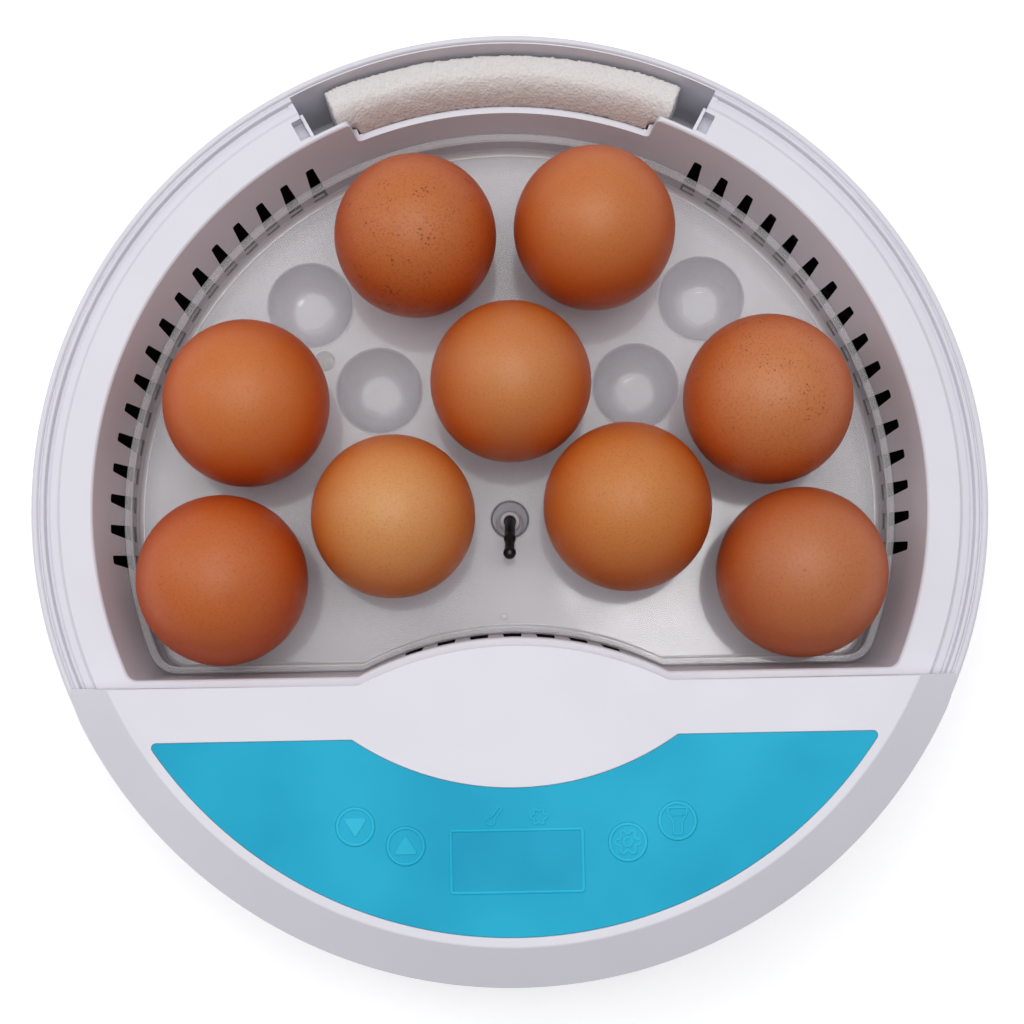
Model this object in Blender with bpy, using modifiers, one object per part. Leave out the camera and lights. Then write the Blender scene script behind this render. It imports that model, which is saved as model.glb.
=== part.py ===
"""Round egg incubator with its lid off: two casings, a clear egg tray with nine eggs,
a sponge in its pocket, a control panel with four keys, and the fan, heater, probe and
wiring that are inside.

Frame: origin at the centre of the outer circle on the surface that the feet stand on,
+X to the right of the control panel, +Y towards the sponge, +Z up.
Sizes below are millimetres. The helpers turn them into metres with MM.
"""

import math

import bmesh
import bpy
from mathutils import Matrix, Vector

MM = 0.001
GAP = 0.3

# Outer body
BODY_R = 125.0
RIM_Z = 62.0
PLATE_T = 2.2
SKIRT_BOTTOM = 50.3
SKIRT_T = 2.1
SHELL_T = 1.6
BASE_Z = 2.5
BASE_T = 2.0
BASE_FLAT_R = 106.0
FOOT_R = 7.0

# Chamber: a round tub with a straight front that bulges back in the middle
CHAMBER_R = 108.9
CHAMBER_FRONT = -45.0
CHAMBER_CORNER = 3.0
WALL_DRAFT = 0.187
FRONT_DRAFT = 0.08
BULGE_HALF = 40.2
BULGE_RISE = 9.5
FLOOR_Z = 16.5
FLOOR_T = 1.5
WALL_T = 2.0

# Air slots
SLOT_FIRST = 29.7
SLOT_PITCH = 4.465
SLOTS_PER_SIDE = 16
SLOT_BOTTOM = 28.0
SLOT_TOP = 48.5
SLOT_W = 4.4
FRONT_SLOTS = 7
FRONT_SLOT_PITCH = 8.75
FRONT_SLOT_W = 5.1
FRONT_SLOT_TOP = 57.0

# Sponge pocket, at the back
POCKET_HALF = 27.5
POCKET_IN = 110.3
POCKET_OUT = 122.8
POCKET_DRAFT = 0.125
POCKET_FLOOR = 34.0
POCKET_WALL = 1.4
LOW_WALL_HALF = 22.3
LOW_WALL_Z = 50.6
LOW_WALL_R = 108.6
SPONGE_HALF = 23.4
SPONGE_Z = 54.0

# Egg tray and eggs
TRAY_Z = 30.0
TRAY_TOP = 39.5
TRAY_T = 1.2
TRAY_CLEAR = 0.6
TRAY_CORNER = 8.0
CUP_R = 11.65
CUP_FLAT_R = 4.35
CUP_DEPTH = 12.0
CUP_SIDES = 16
EGG_LENGTH = 57.0
EGG_TAPER = 0.08
EGG_SIDES = 16
EGG_RINGS = 8
# Each egg: x, y of its cup, and its greatest width
EGGS = (
    (-23.4, 72.8, 43.4),
    (23.4, 72.8, 43.3),
    (0.0, 32.8, 43.0),
    (-69.4, 27.0, 44.2),
    (69.4, 27.0, 45.2),
    (-75.4, -19.4, 45.0),
    (-31.4, -2.2, 43.5),
    (31.4, -2.2, 44.6),
    (75.4, -19.4, 45.0),
)
EMPTY_CUPS = ((-54.1, 58.9), (54.1, 58.9), (-35.3, 34.7), (35.3, 34.7))

# Control housing and panel
HOUSING_TOP = 71.0
HOUSING_TOP_R = 114.2
HOUSING_BACK = -47.4
HOUSING_BULGE_HALF = 39.8
HOUSING_T = 2.0
FILM_R = 111.6
FILM_BACK = -61.4
FILM_BULGE_HALF = 41.5
FILM_BULGE_RISE = -12.8
FILM_T = 0.6
FILM_RECESS = 0.8
FILM_CORNER = 2.0
KEY_R = 5.0
KEY_GAP = 0.2
KEYS = {
    "down": (-40.8, -83.2),
    "up": (-28.1, -88.3),
    "set": (28.1, -88.3),
    "light": (40.8, -83.2),
}
WINDOW_Y = -92.5
WINDOW_W = 34.0
WINDOW_H = 16.2
BOARD_Z = 61.0
BOARD_T = 1.6
BOARD_HALF_W = 52.0
BOARD_FRONT = -103.0
BOARD_BACK = -74.0
BAY_HALF_W = 54.0
BAY_FRONT = -105.0
BAY_BACK = -60.0
SWITCH_W = 6.0
SWITCH_H = 3.5
PLUNGER_R = 1.7

# Inside the base
FAN = (0.0, 40.0)
PROBE = (0.0, -1.7)
LAMP = (-51.3, 45.5)
HEATER_R = 27.0
HEATER_WIRE_R = 1.5
HEATER_Z = 9.5
SCREW_SPOTS = ((70.5, 59.1), (-70.5, 59.1), (78.0, -58.0), (-78.0, -58.0))
FOOT_SPOTS = ((52.0, 80.0), (-52.0, 80.0), (62.0, -76.0), (-62.0, -76.0))
BOARD_SCREW_SPOTS = ((48.0, -98.0), (-48.0, -98.0))
INLET_ANGLE = 45.0
INLET_Z = 24.0

ROUND = 60  # sides of a large circle
ARC_STEPS = 32  # steps along the front arc of the housing and the film

for old in list(bpy.data.objects):
    bpy.data.objects.remove(old, do_unlink=True)

PARTS = bpy.data.collections.new("egg_incubator")
CUTTERS = bpy.data.collections.new("cutters")
for group in (PARTS, CUTTERS):
    bpy.context.scene.collection.children.link(group)
CUTTERS.hide_render = True


# ---------------------------------------------------------------- materials


def material(name, colour, roughness, metallic=0.0, alpha=1.0):
    """A Principled material with one colour."""
    made = bpy.data.materials.new(name)
    made.use_nodes = True
    shader = made.node_tree.nodes["Principled BSDF"]
    shader.inputs["Base Color"].default_value = (*colour, 1.0)
    shader.inputs["Roughness"].default_value = roughness
    shader.inputs["Metallic"].default_value = metallic
    shader.inputs["Alpha"].default_value = alpha
    made.diffuse_color = (*colour, alpha)
    return made


WHITE = material("white_plastic", (0.78, 0.77, 0.82), 0.35)
BLUE = material("blue_film", (0.03, 0.40, 0.62), 0.3)
CLEAR = material("clear_plastic", (0.85, 0.87, 0.9), 0.05, alpha=0.3)
SHELL = material("eggshell", (0.5, 0.18, 0.06), 0.55)
SPONGE = material("sponge", (0.85, 0.84, 0.78), 0.95)
BLACK = material("black_plastic", (0.02, 0.02, 0.02), 0.45)
RUBBER = material("rubber", (0.05, 0.05, 0.05), 0.8)
BOARD = material("circuit_board", (0.02, 0.2, 0.08), 0.5)
STEEL = material("steel", (0.6, 0.6, 0.6), 0.3, metallic=1.0)
CERAMIC = material("ceramic", (0.85, 0.83, 0.78), 0.5)
LEAD = material("lead_sleeve", (0.6, 0.05, 0.04), 0.5)
DISPLAY = material("display", (0.05, 0.05, 0.06), 0.2)


# ------------------------------------------------------------------ shapes


def add(name, mesh, look=None):
    """Puts a mesh in the scene: a part with its material, or a cutter with none."""
    made = bpy.data.objects.new(name, mesh)
    if look is None:
        CUTTERS.objects.link(made)
        made.hide_render = True
        made.display_type = "WIRE"
    else:
        PARTS.objects.link(made)
        mesh.materials.clear()
        mesh.materials.append(look)
    return made


def from_bmesh(name, bm, look=None):
    bmesh.ops.recalc_face_normals(bm, faces=bm.faces)
    mesh = bpy.data.meshes.new(name)
    bm.to_mesh(mesh)
    bm.free()
    return add(name, mesh, look)


def turned(name, profile, look=None, sides=24, at=(0.0, 0.0)):
    """A Screw of (radius, z) points, which run up the inside and down the outside."""
    mesh = bpy.data.meshes.new(name)
    points = [(r * MM, 0.0, z * MM) for r, z in profile]
    edges = [(i, i + 1) for i in range(len(points) - 1)]
    if profile[0][0] > 0 or profile[-1][0] > 0:
        edges.append((len(points) - 1, 0))
    mesh.from_pydata(points, edges, [])
    made = add(name, mesh, look)
    made.location = (at[0] * MM, at[1] * MM, 0.0)
    screw = made.modifiers.new("turn", "SCREW")
    screw.steps = screw.render_steps = sides
    screw.use_merge_vertices = True
    screw.merge_threshold = 0.00001
    screw.use_smooth_shade = True
    return made


def rod(name, radius, low, high, look=None, sides=24, at=(0.0, 0.0)):
    """An upright cylinder between two heights."""
    profile = [(0.0, low), (radius, low), (radius, high), (0.0, high)]
    return turned(name, profile[::-1], look, sides, at)


def box(name, low, high, look=None, turn=0.0):
    """A block between two corners, turned about the Z axis."""
    bm = bmesh.new()
    bmesh.ops.create_cube(bm, size=1.0)
    size = [(b - a) * MM for a, b in zip(low, high)]
    middle = [(a + b) / 2 * MM for a, b in zip(low, high)]
    bmesh.ops.scale(bm, vec=size, verts=bm.verts)
    bmesh.ops.translate(bm, vec=middle, verts=bm.verts)
    made = from_bmesh(name, bm, look)
    made.rotation_euler.z = math.radians(turn)
    return made


def loft(name, sections, look=None):
    """A closed body through flat outlines, given as (z, [(x, y), ...]) from low to high."""
    bm = bmesh.new()
    rings = []
    for z, outline in sections:
        rings.append([bm.verts.new((x * MM, y * MM, z * MM)) for x, y in outline])
    for low, high in zip(rings, rings[1:]):
        for i, (a, b) in enumerate(zip(low, high)):
            j = (i + 1) % len(low)
            bm.faces.new((a, low[j], high[j], b))
    bm.faces.new(rings[0][::-1])
    bm.faces.new(rings[-1])
    return from_bmesh(name, bm, look)


def wire(name, route, radius, look, rings=5):
    """A round lead along a smooth curve through the points of its route."""
    points = smooth_route(route, rings)
    curve = bpy.data.curves.new(name, "CURVE")
    curve.dimensions = "3D"
    curve.bevel_depth = radius * MM
    curve.bevel_resolution = 1
    curve.use_fill_caps = True
    spline = curve.splines.new("POLY")
    spline.points.add(len(points) - 1)
    for point, place in zip(spline.points, points):
        point.co = (*(c * MM for c in place), 1.0)
    made = bpy.data.objects.new(name, curve)
    PARTS.objects.link(made)
    curve.materials.append(look)
    return made


def smooth_route(route, rings):
    """Catmull-Rom points through a route."""
    ends = [Vector(p) for p in route]
    ends = [2 * ends[0] - ends[1], *ends, 2 * ends[-1] - ends[-2]]
    points = []
    for before, start, end, after in zip(ends, ends[1:], ends[2:], ends[3:]):
        for k in range(rings):
            t = k / rings
            points.append(
                0.5
                * (
                    2 * start
                    + (end - before) * t
                    + (2 * before - 5 * start + 4 * end - after) * t**2
                    + (3 * start - before - 3 * end + after) * t**3
                )
            )
    return [*points, ends[-2]]


def boolean(target, operation, *others):
    for other in others:
        step = target.modifiers.new(other.name, "BOOLEAN")
        step.operation = operation
        step.object = other
    return target


def cut(target, *others):
    return boolean(target, "DIFFERENCE", *others)


def join(target, *others):
    return boolean(target, "UNION", *others)


def merged(name, pieces):
    """One cutter mesh from separate pieces that don't touch each other."""
    bpy.context.view_layer.update()
    graph = bpy.context.evaluated_depsgraph_get()
    bm = bmesh.new()
    for piece in pieces:
        mesh = bpy.data.meshes.new_from_object(piece.evaluated_get(graph))
        mesh.transform(piece.matrix_world)
        bm.from_mesh(mesh)
        bpy.data.meshes.remove(mesh)
    for piece in pieces:
        bpy.data.objects.remove(piece, do_unlink=True)
    bmesh.ops.remove_doubles(bm, verts=bm.verts, dist=1e-7)
    return from_bmesh(name, bm)


# ---------------------------------------------------------------- outlines


def arc(centre, radius, start, end, steps):
    """Points on a circle between two angles in degrees, both ends included."""
    points = []
    for k in range(steps + 1):
        a = math.radians(start + (end - start) * k / steps)
        points.append((centre[0] + radius * math.cos(a), centre[1] + radius * math.sin(a)))
    return points


def bulge(half, base, rise, steps):
    """A circular arc from (-half, base) over (0, base + rise) to (half, base)."""
    radius = (half**2 + rise**2) / (2 * abs(rise))
    spread = math.degrees(math.asin(half / radius))
    up = math.copysign(1.0, rise)
    centre = (0.0, base + rise - up * radius)
    return arc(centre, radius, up * (90 + spread), up * (90 - spread), steps)


def rounded(points, corners, radius, steps=4):
    """The outline with an arc in place of each of the numbered corners."""
    made = []
    for i, point in enumerate(points):
        if i not in corners:
            made.append(point)
            continue
        here = Vector(point)
        before = (Vector(points[i - 1]) - here).normalized()
        after = (Vector(points[(i + 1) % len(points)]) - here).normalized()
        half = before.angle(after) / 2
        reach = radius / math.tan(half)
        centre = here + (before + after).normalized() * radius / math.sin(half)
        first = here + before * reach - centre
        last = here + after * reach - centre
        turn = first.angle_signed(last)
        for k in range(steps + 1):
            made.append(tuple(centre + Matrix.Rotation(-turn * k / steps, 2) @ first))
    return made


def chamber_outline(radius, front, corner):
    """Round at the back, straight at the front with a bulge in the middle."""
    dip = math.degrees(math.asin(front / radius))
    back = arc((0.0, 0.0), radius, dip, 180 - dip, 42)
    middle = bulge(BULGE_HALF, front, BULGE_RISE, 10)
    return rounded(back + middle, (0, len(back) - 1), corner)


def crescent(radius, back, half, rise):
    """The front part of a circle, with a bulge or a hollow in its straight back edge."""
    dip = math.degrees(math.asin(back / radius))
    front = arc((0.0, 0.0), radius, -180 - dip, dip, ARC_STEPS)
    middle = bulge(half, back, rise, 10)[::-1]
    return front + middle


def sector(inner, outer, half, steps=8):
    """A band about +Y between two radii."""
    far = arc((0.0, 0.0), outer, 90 - half, 90 + half, steps)
    near = arc((0.0, 0.0), inner, 90 + half, 90 - half, steps)
    return far + near


def tub_section(z, grow=0.0):
    """The chamber's outline at a height, grown outwards."""
    down = RIM_Z - z
    radius = CHAMBER_R - down * WALL_DRAFT + grow
    front = CHAMBER_FRONT + down * FRONT_DRAFT - grow
    return (z, chamber_outline(radius, front, CHAMBER_CORNER + grow))


def pocket_section(z, grow=0.0):
    down = RIM_Z - z
    inner = POCKET_IN - 4 * grow
    outer = POCKET_OUT - down * POCKET_DRAFT + grow
    return (z, sector(inner, outer, POCKET_HALF + grow / 2))


# ------------------------------------------------------------------ casings


def rim_profile():
    """The top plate with the lid's seat: ledge, step, groove and lip, and the skirt."""
    low = RIM_Z - PLATE_T
    inside = BODY_R - SKIRT_T
    return [
        (0.0, low),
        (inside, low),
        (inside, SKIRT_BOTTOM),
        (BODY_R, SKIRT_BOTTOM),
        (BODY_R, RIM_Z - 1.1),
        (124.2, RIM_Z - 0.3),
        (121.5, RIM_Z - 0.3),
        (121.3, RIM_Z - 1.6),
        (120.4, RIM_Z - 1.6),
        (120.1, RIM_Z - 0.8),
        (118.0, RIM_Z - 0.8),
        (117.5, RIM_Z),
        (0.0, RIM_Z),
    ][::-1]


def slot_cutter(name, width, taper, high, near):
    """An upright air slot, narrower and rounded at its top, that cuts along -Y from near."""
    half = width / 2
    top = half * taper
    face = [
        (-half, SLOT_BOTTOM),
        (half, SLOT_BOTTOM),
        (top, high - 0.8),
        (top * 0.6, high),
        (-top * 0.6, high),
        (-top, high - 0.8),
    ]
    bm = bmesh.new()
    back = [bm.verts.new((x * MM, near * MM, z * MM)) for x, z in face]
    front = [bm.verts.new((x * MM, (near - 12.5) * MM, z * MM)) for x, z in face]
    for i in range(len(face)):
        j = (i + 1) % len(face)
        bm.faces.new((back[i], back[j], front[j], front[i]))
    bm.faces.new(back)
    bm.faces.new(front[::-1])
    return from_bmesh(name, bm)


def air_slots():
    """Slots all round the chamber's wall, and a row through the front bulge."""
    cutters = []
    for side in (1, -1):
        for k in range(SLOTS_PER_SIDE):
            slot = slot_cutter(f"slot_{side}_{k}", SLOT_W, 0.54, SLOT_TOP, 111.0)
            slot.rotation_euler.z = math.radians(-side * (SLOT_FIRST + SLOT_PITCH * k))
            cutters.append(slot)
    radius = (BULGE_HALF**2 + BULGE_RISE**2) / (2 * BULGE_RISE)
    centre_y = CHAMBER_FRONT + BULGE_RISE - radius
    for k in range(FRONT_SLOTS):
        slot = slot_cutter(f"front_slot_{k}", FRONT_SLOT_W, 0.9, FRONT_SLOT_TOP, radius + 6.0)
        turn = FRONT_SLOT_PITCH * (k - (FRONT_SLOTS - 1) / 2) / radius
        slot.rotation_euler.z = -turn
        slot.location.y = centre_y * MM
        cutters.append(slot)
    return merged("air_slots", cutters)


def latch_notch(side):
    """The short slot in the ledge at an end of the sponge pocket."""
    bottom, top = RIM_Z - 8.0, RIM_Z + 1.0
    middle = math.radians(90 - side * (POCKET_HALF + 0.55))
    notch = box(
        f"latch_notch_{side}",
        (110.7, -1.3, bottom),
        (116.4, 1.3, top),
        turn=math.degrees(middle),
    )
    return notch


def pocket_rib(side):
    """The upright rib in the gap at an end of the pocket."""
    return box(
        f"pocket_rib_{side}",
        (POCKET_IN - 0.4, -0.5, POCKET_FLOOR - 0.5),
        (POCKET_IN + 1.2, 0.5, RIM_Z - 6.0),
        turn=90 - side * (POCKET_HALF - 1.9),
    )


def make_upper_casing():
    """The rim, the chamber's tub and the sponge pocket, moulded in one piece."""
    casing = turned("upper_casing", rim_profile(), WHITE, ROUND)
    tub = loft("tub_block", [tub_section(FLOOR_Z - FLOOR_T, WALL_T), tub_section(61.0, WALL_T)])
    pocket = loft(
        "pocket_block",
        [pocket_section(POCKET_FLOOR - 1.5, POCKET_WALL), pocket_section(60.6, POCKET_WALL)],
    )
    join(casing, tub, pocket)
    for k, (x, y) in enumerate(SCREW_SPOTS):
        top = FLOOR_Z - 0.5 if y > 0 else RIM_Z - 1.0
        join(casing, rod(f"post_{k}", 4.0, 9.3, top, sides=16, at=(x, y)))
        cut(casing, rod(f"post_bore_{k}", 1.75, 9.0, 14.2, sides=12, at=(x, y)))
    chamber = loft("chamber", [tub_section(FLOOR_Z), tub_section(RIM_Z + 1.0)])
    well = loft("pocket", [pocket_section(POCKET_FLOOR), pocket_section(RIM_Z + 1.0)])
    low_wall = loft(
        "low_wall",
        [
            (LOW_WALL_Z, sector(104.0, 112.0, LOW_WALL_HALF - 0.8)),
            (RIM_Z + 1.0, sector(104.0, 112.0, LOW_WALL_HALF + 0.3)),
        ],
    )
    niche = loft(
        "sponge_niche",
        [
            (z, sector(LOW_WALL_R, POCKET_IN + 1.0, LOW_WALL_HALF - 0.9))
            for z in (POCKET_FLOOR, LOW_WALL_Z + 1.0)
        ],
    )
    bay = box(
        "front_bay",
        (-BAY_HALF_W, BAY_FRONT, RIM_Z - 4.0),
        (BAY_HALF_W, BAY_BACK, RIM_Z + 1.0),
    )
    cut(casing, chamber, well, niche, low_wall, bay, air_slots())
    cut(casing, latch_notch(1), latch_notch(-1))
    join(casing, pocket_rib(1), pocket_rib(-1))
    cut(casing, rod("grommet_hole", 2.9, 14.0, 18.0, sides=16, at=PROBE))
    cut(casing, rod("lamp_hole", 2.9, 14.0, 18.0, sides=16, at=LAMP))


def bowl_curve(offset, steps):
    """The bowl's side from its flat base up to its straight wall."""
    points = []
    rise = 30.0 - BASE_Z
    reach = 124.1 - BASE_FLAT_R
    for k in range(steps + 1):
        a = math.radians(90 * k / steps)
        out = Vector((math.sin(a) * rise, -math.cos(a) * reach)).normalized()
        r = BASE_FLAT_R + reach * math.sin(a) - out.x * offset
        z = BASE_Z + rise * (1 - math.cos(a)) - out.y * offset
        points.append((r, z))
    return points


def make_bottom_shell():
    """The bowl that the upper casing stands on, with its screw bosses."""
    rim = SKIRT_BOTTOM - GAP
    inner = bowl_curve(BASE_T, 3)
    outer = bowl_curve(0.0, 5)[::-1]
    top = [(124.6 - SHELL_T, rim), (124.6, rim)]
    profile = [(0.0, BASE_Z + BASE_T), *inner, *top, *outer, (0.0, BASE_Z)]
    shell = turned("bottom_shell", profile, WHITE, ROUND)
    for k, (x, y) in enumerate(SCREW_SPOTS):
        join(shell, rod(f"boss_{k}", 5.0, BASE_Z + 0.5, 9.0, sides=16, at=(x, y)))
        cut(shell, rod(f"boss_sink_{k}", 3.7, 0.0, 5.6, sides=16, at=(x, y)))
        cut(shell, rod(f"boss_bore_{k}", 1.75, 5.0, 10.0, sides=12, at=(x, y)))
    opening = box(
        "inlet_opening",
        (116.0, -9.3, INLET_Z - 7.3),
        (128.0, 9.3, INLET_Z + 7.3),
        turn=INLET_ANGLE,
    )
    cut(shell, opening)


def make_fasteners_and_feet():
    """Casing screws from below, board screws, and rubber feet."""
    for k, (x, y) in enumerate(SCREW_SPOTS, 1):
        profile = [(0.0, 13.8), (1.4, 13.8), (1.4, 5.3), (3.3, 5.3), (3.3, 3.7), (0.0, 3.7)]
        turned(f"casing_screw_{k}", profile, STEEL, 12, (x, y))
    for k, (x, y) in enumerate(BOARD_SCREW_SPOTS, 1):
        head = BOARD_Z - GAP
        profile = [(0.0, 67.0), (1.0, 67.0), (1.0, head), (2.4, head), (2.4, head - 1.6)]
        turned(f"board_screw_{k}", [*profile, (0.0, head - 1.6)], STEEL, 12, (x, y))
    for k, (x, y) in enumerate(FOOT_SPOTS, 1):
        top = BASE_Z - GAP
        profile = [(0.0, top), (FOOT_R, top), (FOOT_R, 0.6), (FOOT_R - 0.6, 0.0), (0.0, 0.0)]
        turned(f"foot_{k}", profile, RUBBER, 16, (x, y))


# -------------------------------------------------------- control housing


def make_control_housing():
    """The raised front cover: a shell with sloping sides, open underneath."""
    low = RIM_Z + GAP
    rise = BULGE_RISE
    half = HOUSING_BULGE_HALF
    housing = loft(
        "control_housing",
        [
            (low, crescent(BODY_R, HOUSING_BACK, half, rise)),
            (HOUSING_TOP, crescent(HOUSING_TOP_R, HOUSING_BACK, half, rise)),
        ],
        WHITE,
    )
    back = HOUSING_BACK - HOUSING_T
    slope = (BODY_R - HOUSING_TOP_R) / (HOUSING_TOP - low)
    ceiling = HOUSING_TOP - HOUSING_T
    inner_top = HOUSING_TOP_R + slope * HOUSING_T - 2.6
    hollow = loft(
        "housing_hollow",
        [
            (low - 1.0, crescent(BODY_R + slope - 2.6, back, half, rise)),
            (ceiling, crescent(inner_top, back, half, rise)),
        ],
    )
    cut(housing, hollow)
    recess_outline = crescent(FILM_R + GAP, FILM_BACK + GAP, FILM_BULGE_HALF, FILM_BULGE_RISE)
    recess_outline = rounded(recess_outline, (0, ARC_STEPS), FILM_CORNER)
    recess = loft(
        "film_recess",
        [(HOUSING_TOP - FILM_RECESS, recess_outline), (HOUSING_TOP + 1.0, recess_outline)],
    )
    cut(housing, recess)
    for name, spot in KEYS.items():
        hole = rod(f"key_well_{name}", KEY_R + GAP, 68.0, 72.0, sides=16, at=spot)
        cut(housing, hole)
    half_w, half_h = WINDOW_W / 2 - 1.5, WINDOW_H / 2 - 1.2
    opening = box(
        "window_opening",
        (-half_w, WINDOW_Y - half_h, 68.0),
        (half_w, WINDOW_Y + half_h, 72.0),
    )
    cut(housing, opening)
    for k, spot in enumerate(BOARD_SCREW_SPOTS):
        boss_low = BOARD_Z + BOARD_T + GAP
        join(housing, rod(f"board_boss_{k}", 3.0, boss_low, 69.5, sides=16, at=spot))
        cut(housing, rod(f"board_boss_bore_{k}", 1.35, 62.0, 67.6, sides=12, at=spot))


def make_panel():
    """The blue film with its window, and the four keys with their switches below."""
    low, high = HOUSING_TOP + 0.1 - FILM_T, HOUSING_TOP + 0.1
    outline = crescent(FILM_R, FILM_BACK, FILM_BULGE_HALF, FILM_BULGE_RISE)
    outline = rounded(outline, (0, ARC_STEPS), FILM_CORNER)
    film = loft("panel_overlay", [(low, outline), (high, outline)], BLUE)
    half_w, half_h = WINDOW_W / 2, WINDOW_H / 2
    hole = box(
        "window_hole",
        (-half_w - KEY_GAP, WINDOW_Y - half_h - KEY_GAP, 70.0),
        (half_w + KEY_GAP, WINDOW_Y + half_h + KEY_GAP, 72.0),
    )
    cut(film, hole)
    box(
        "display_window",
        (-half_w, WINDOW_Y - half_h, low),
        (half_w, WINDOW_Y + half_h, high),
        BLUE,
    )
    display_low = BOARD_Z + BOARD_T + GAP
    box(
        "led_display",
        (-half_w + 2.5, WINDOW_Y - half_h + 2.1, display_low),
        (half_w - 2.5, WINDOW_Y + half_h - 2.1, 69.9),
        DISPLAY,
    )
    for name, spot in KEYS.items():
        cut(film, rod(f"key_hole_{name}", KEY_R + KEY_GAP, 70.0, 72.0, sides=24, at=spot))
        make_key(name, spot, low, high)
        make_switch(name, spot, low - GAP)


def make_key(name, spot, low, high):
    """A round key, flush with the film, that travels down."""
    edge = [(KEY_R - 0.2, high), (KEY_R, high - 0.2), (KEY_R, low)]
    turned(f"key_{name}", [(0.0, high), *edge, (0.0, low)], BLUE, 24, spot)


def make_switch(name, spot, plunger_top):
    """A tact switch on the board, and the plunger between it and the key."""
    x, y = spot
    half = SWITCH_W / 2
    low = BOARD_Z + BOARD_T + GAP
    body = box(
        f"switch_{name}",
        (x - half, y - half, low),
        (x + half, y + half, low + SWITCH_H),
        BLACK,
    )
    cut(body, rod(f"switch_bore_{name}", 2.0, low + 1.5, low + 5.0, sides=16, at=spot))
    rod(f"plunger_{name}", PLUNGER_R, low + 2.4, plunger_top, CERAMIC, 16, spot)


def make_control_board():
    board = box(
        "control_board",
        (-BOARD_HALF_W, BOARD_FRONT, BOARD_Z),
        (BOARD_HALF_W, BOARD_BACK, BOARD_Z + BOARD_T),
        BOARD,
    )
    for k, spot in enumerate(BOARD_SCREW_SPOTS):
        cut(board, rod(f"board_hole_{k}", 1.35, 60.0, 64.0, sides=12, at=spot))


# ------------------------------------------------------------ tray and eggs


def cup_curve(grow, steps=3):
    """A cup's side as (radius, z), from its rim down to the edge of its flat."""
    points = []
    for k in range(steps + 1):
        a = math.radians(90 * k / steps)
        r = CUP_FLAT_R + (CUP_R - CUP_FLAT_R) * math.cos(a) + grow
        points.append((r, TRAY_Z - CUP_DEPTH * math.sin(a) - (grow if k == steps else 0)))
    return points


def tray_section(z, inset=0.0):
    """The tray's outline at a height: it follows the tub with a clearance."""
    down = RIM_Z - z
    radius = CHAMBER_R - down * WALL_DRAFT - TRAY_CLEAR - inset
    front = CHAMBER_FRONT + down * FRONT_DRAFT + TRAY_CLEAR + inset
    return (z, chamber_outline(radius, front, TRAY_CORNER - inset))


def make_egg_tray():
    """A clear sheet with a turned-up edge and a cup for each egg."""
    bottom = TRAY_Z - TRAY_T
    tray = loft("egg_tray", [tray_section(bottom), tray_section(TRAY_TOP)], CLEAR)
    inside = loft(
        "tray_inside",
        [tray_section(TRAY_Z, TRAY_T), tray_section(TRAY_TOP + 1.0, TRAY_T)],
    )
    cut(tray, inside)
    outsides = []
    insides = []
    spots = [(x, y) for x, y, _ in EGGS] + list(EMPTY_CUPS)
    for k, spot in enumerate(spots):
        skin = cup_curve(TRAY_T, 2)[1:]
        top = TRAY_Z - TRAY_T / 2
        profile = [(0.0, top), (CUP_R + TRAY_T, top), *skin, (0.0, skin[-1][1])]
        outsides.append(turned(f"cup_outside_{k}", profile, None, CUP_SIDES, spot))
        skin = cup_curve(0.0)
        profile = [(0.0, TRAY_Z + 3), (CUP_R, TRAY_Z + 3), *skin, (0.0, skin[-1][1])]
        insides.append(turned(f"cup_inside_{k}", profile, None, CUP_SIDES, spot))
    join(tray, merged("cup_outsides", outsides))
    cut(tray, merged("cup_insides", insides))
    cut(tray, rod("probe_hole", 4.7, 26.0, 32.0, sides=24, at=PROBE))


def egg_profile(width, rings):
    """(radius, height above the tip) of an egg with its blunt end up."""
    half = width / 2 / (1 + EGG_TAPER**2 / 2)
    points = []
    for k in range(rings + 1):
        a = math.pi * k / rings
        r = half * math.sin(a) * (1 - EGG_TAPER * math.cos(a))
        points.append((r if 0 < k < rings else 0.0, EGG_LENGTH / 2 * (1 - math.cos(a))))
    return points


def seat_height(width):
    """The height of an egg's tip when it stands in a cup with the usual gap."""
    below = [h for r, h in egg_profile(width, 200) if r <= CUP_R and h < EGG_LENGTH / 2]
    return TRAY_Z - max(below) + GAP


def make_eggs():
    for k, (x, y, width) in enumerate(EGGS, 1):
        tip = seat_height(width)
        profile = [(r, h + tip) for r, h in egg_profile(width, EGG_RINGS)][::-1]
        turned(f"egg_{k}", profile, SHELL, EGG_SIDES, (x, y))


def sponge_outline(far):
    """A bent block whose middle reaches the low wall, between the steps at its ends."""
    outer = arc((0.0, 0.0), far, 90 - SPONGE_HALF, 90 + SPONGE_HALF, 24)
    half = LOW_WALL_HALF - 1.1
    inner = arc((0.0, 0.0), LOW_WALL_R + GAP, 90 + half, 90 - half, 20)
    shoulder = POCKET_IN + GAP
    ends = [
        arc((0.0, 0.0), shoulder, 90 + side * SPONGE_HALF, 90 + side * half, 2)
        for side in (1, -1)
    ]
    return [*outer, *ends[0], *inner, *ends[1][::-1]]


def make_sponge():
    """The sponge that stands in the back pocket."""
    sections = []
    for z in (POCKET_FLOOR + GAP, SPONGE_Z):
        far = POCKET_OUT - GAP - (RIM_Z - z) * POCKET_DRAFT
        sections.append((z, sponge_outline(far)))
    loft("sponge", sections, SPONGE)


# ------------------------------------------------------- inside the base


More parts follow.
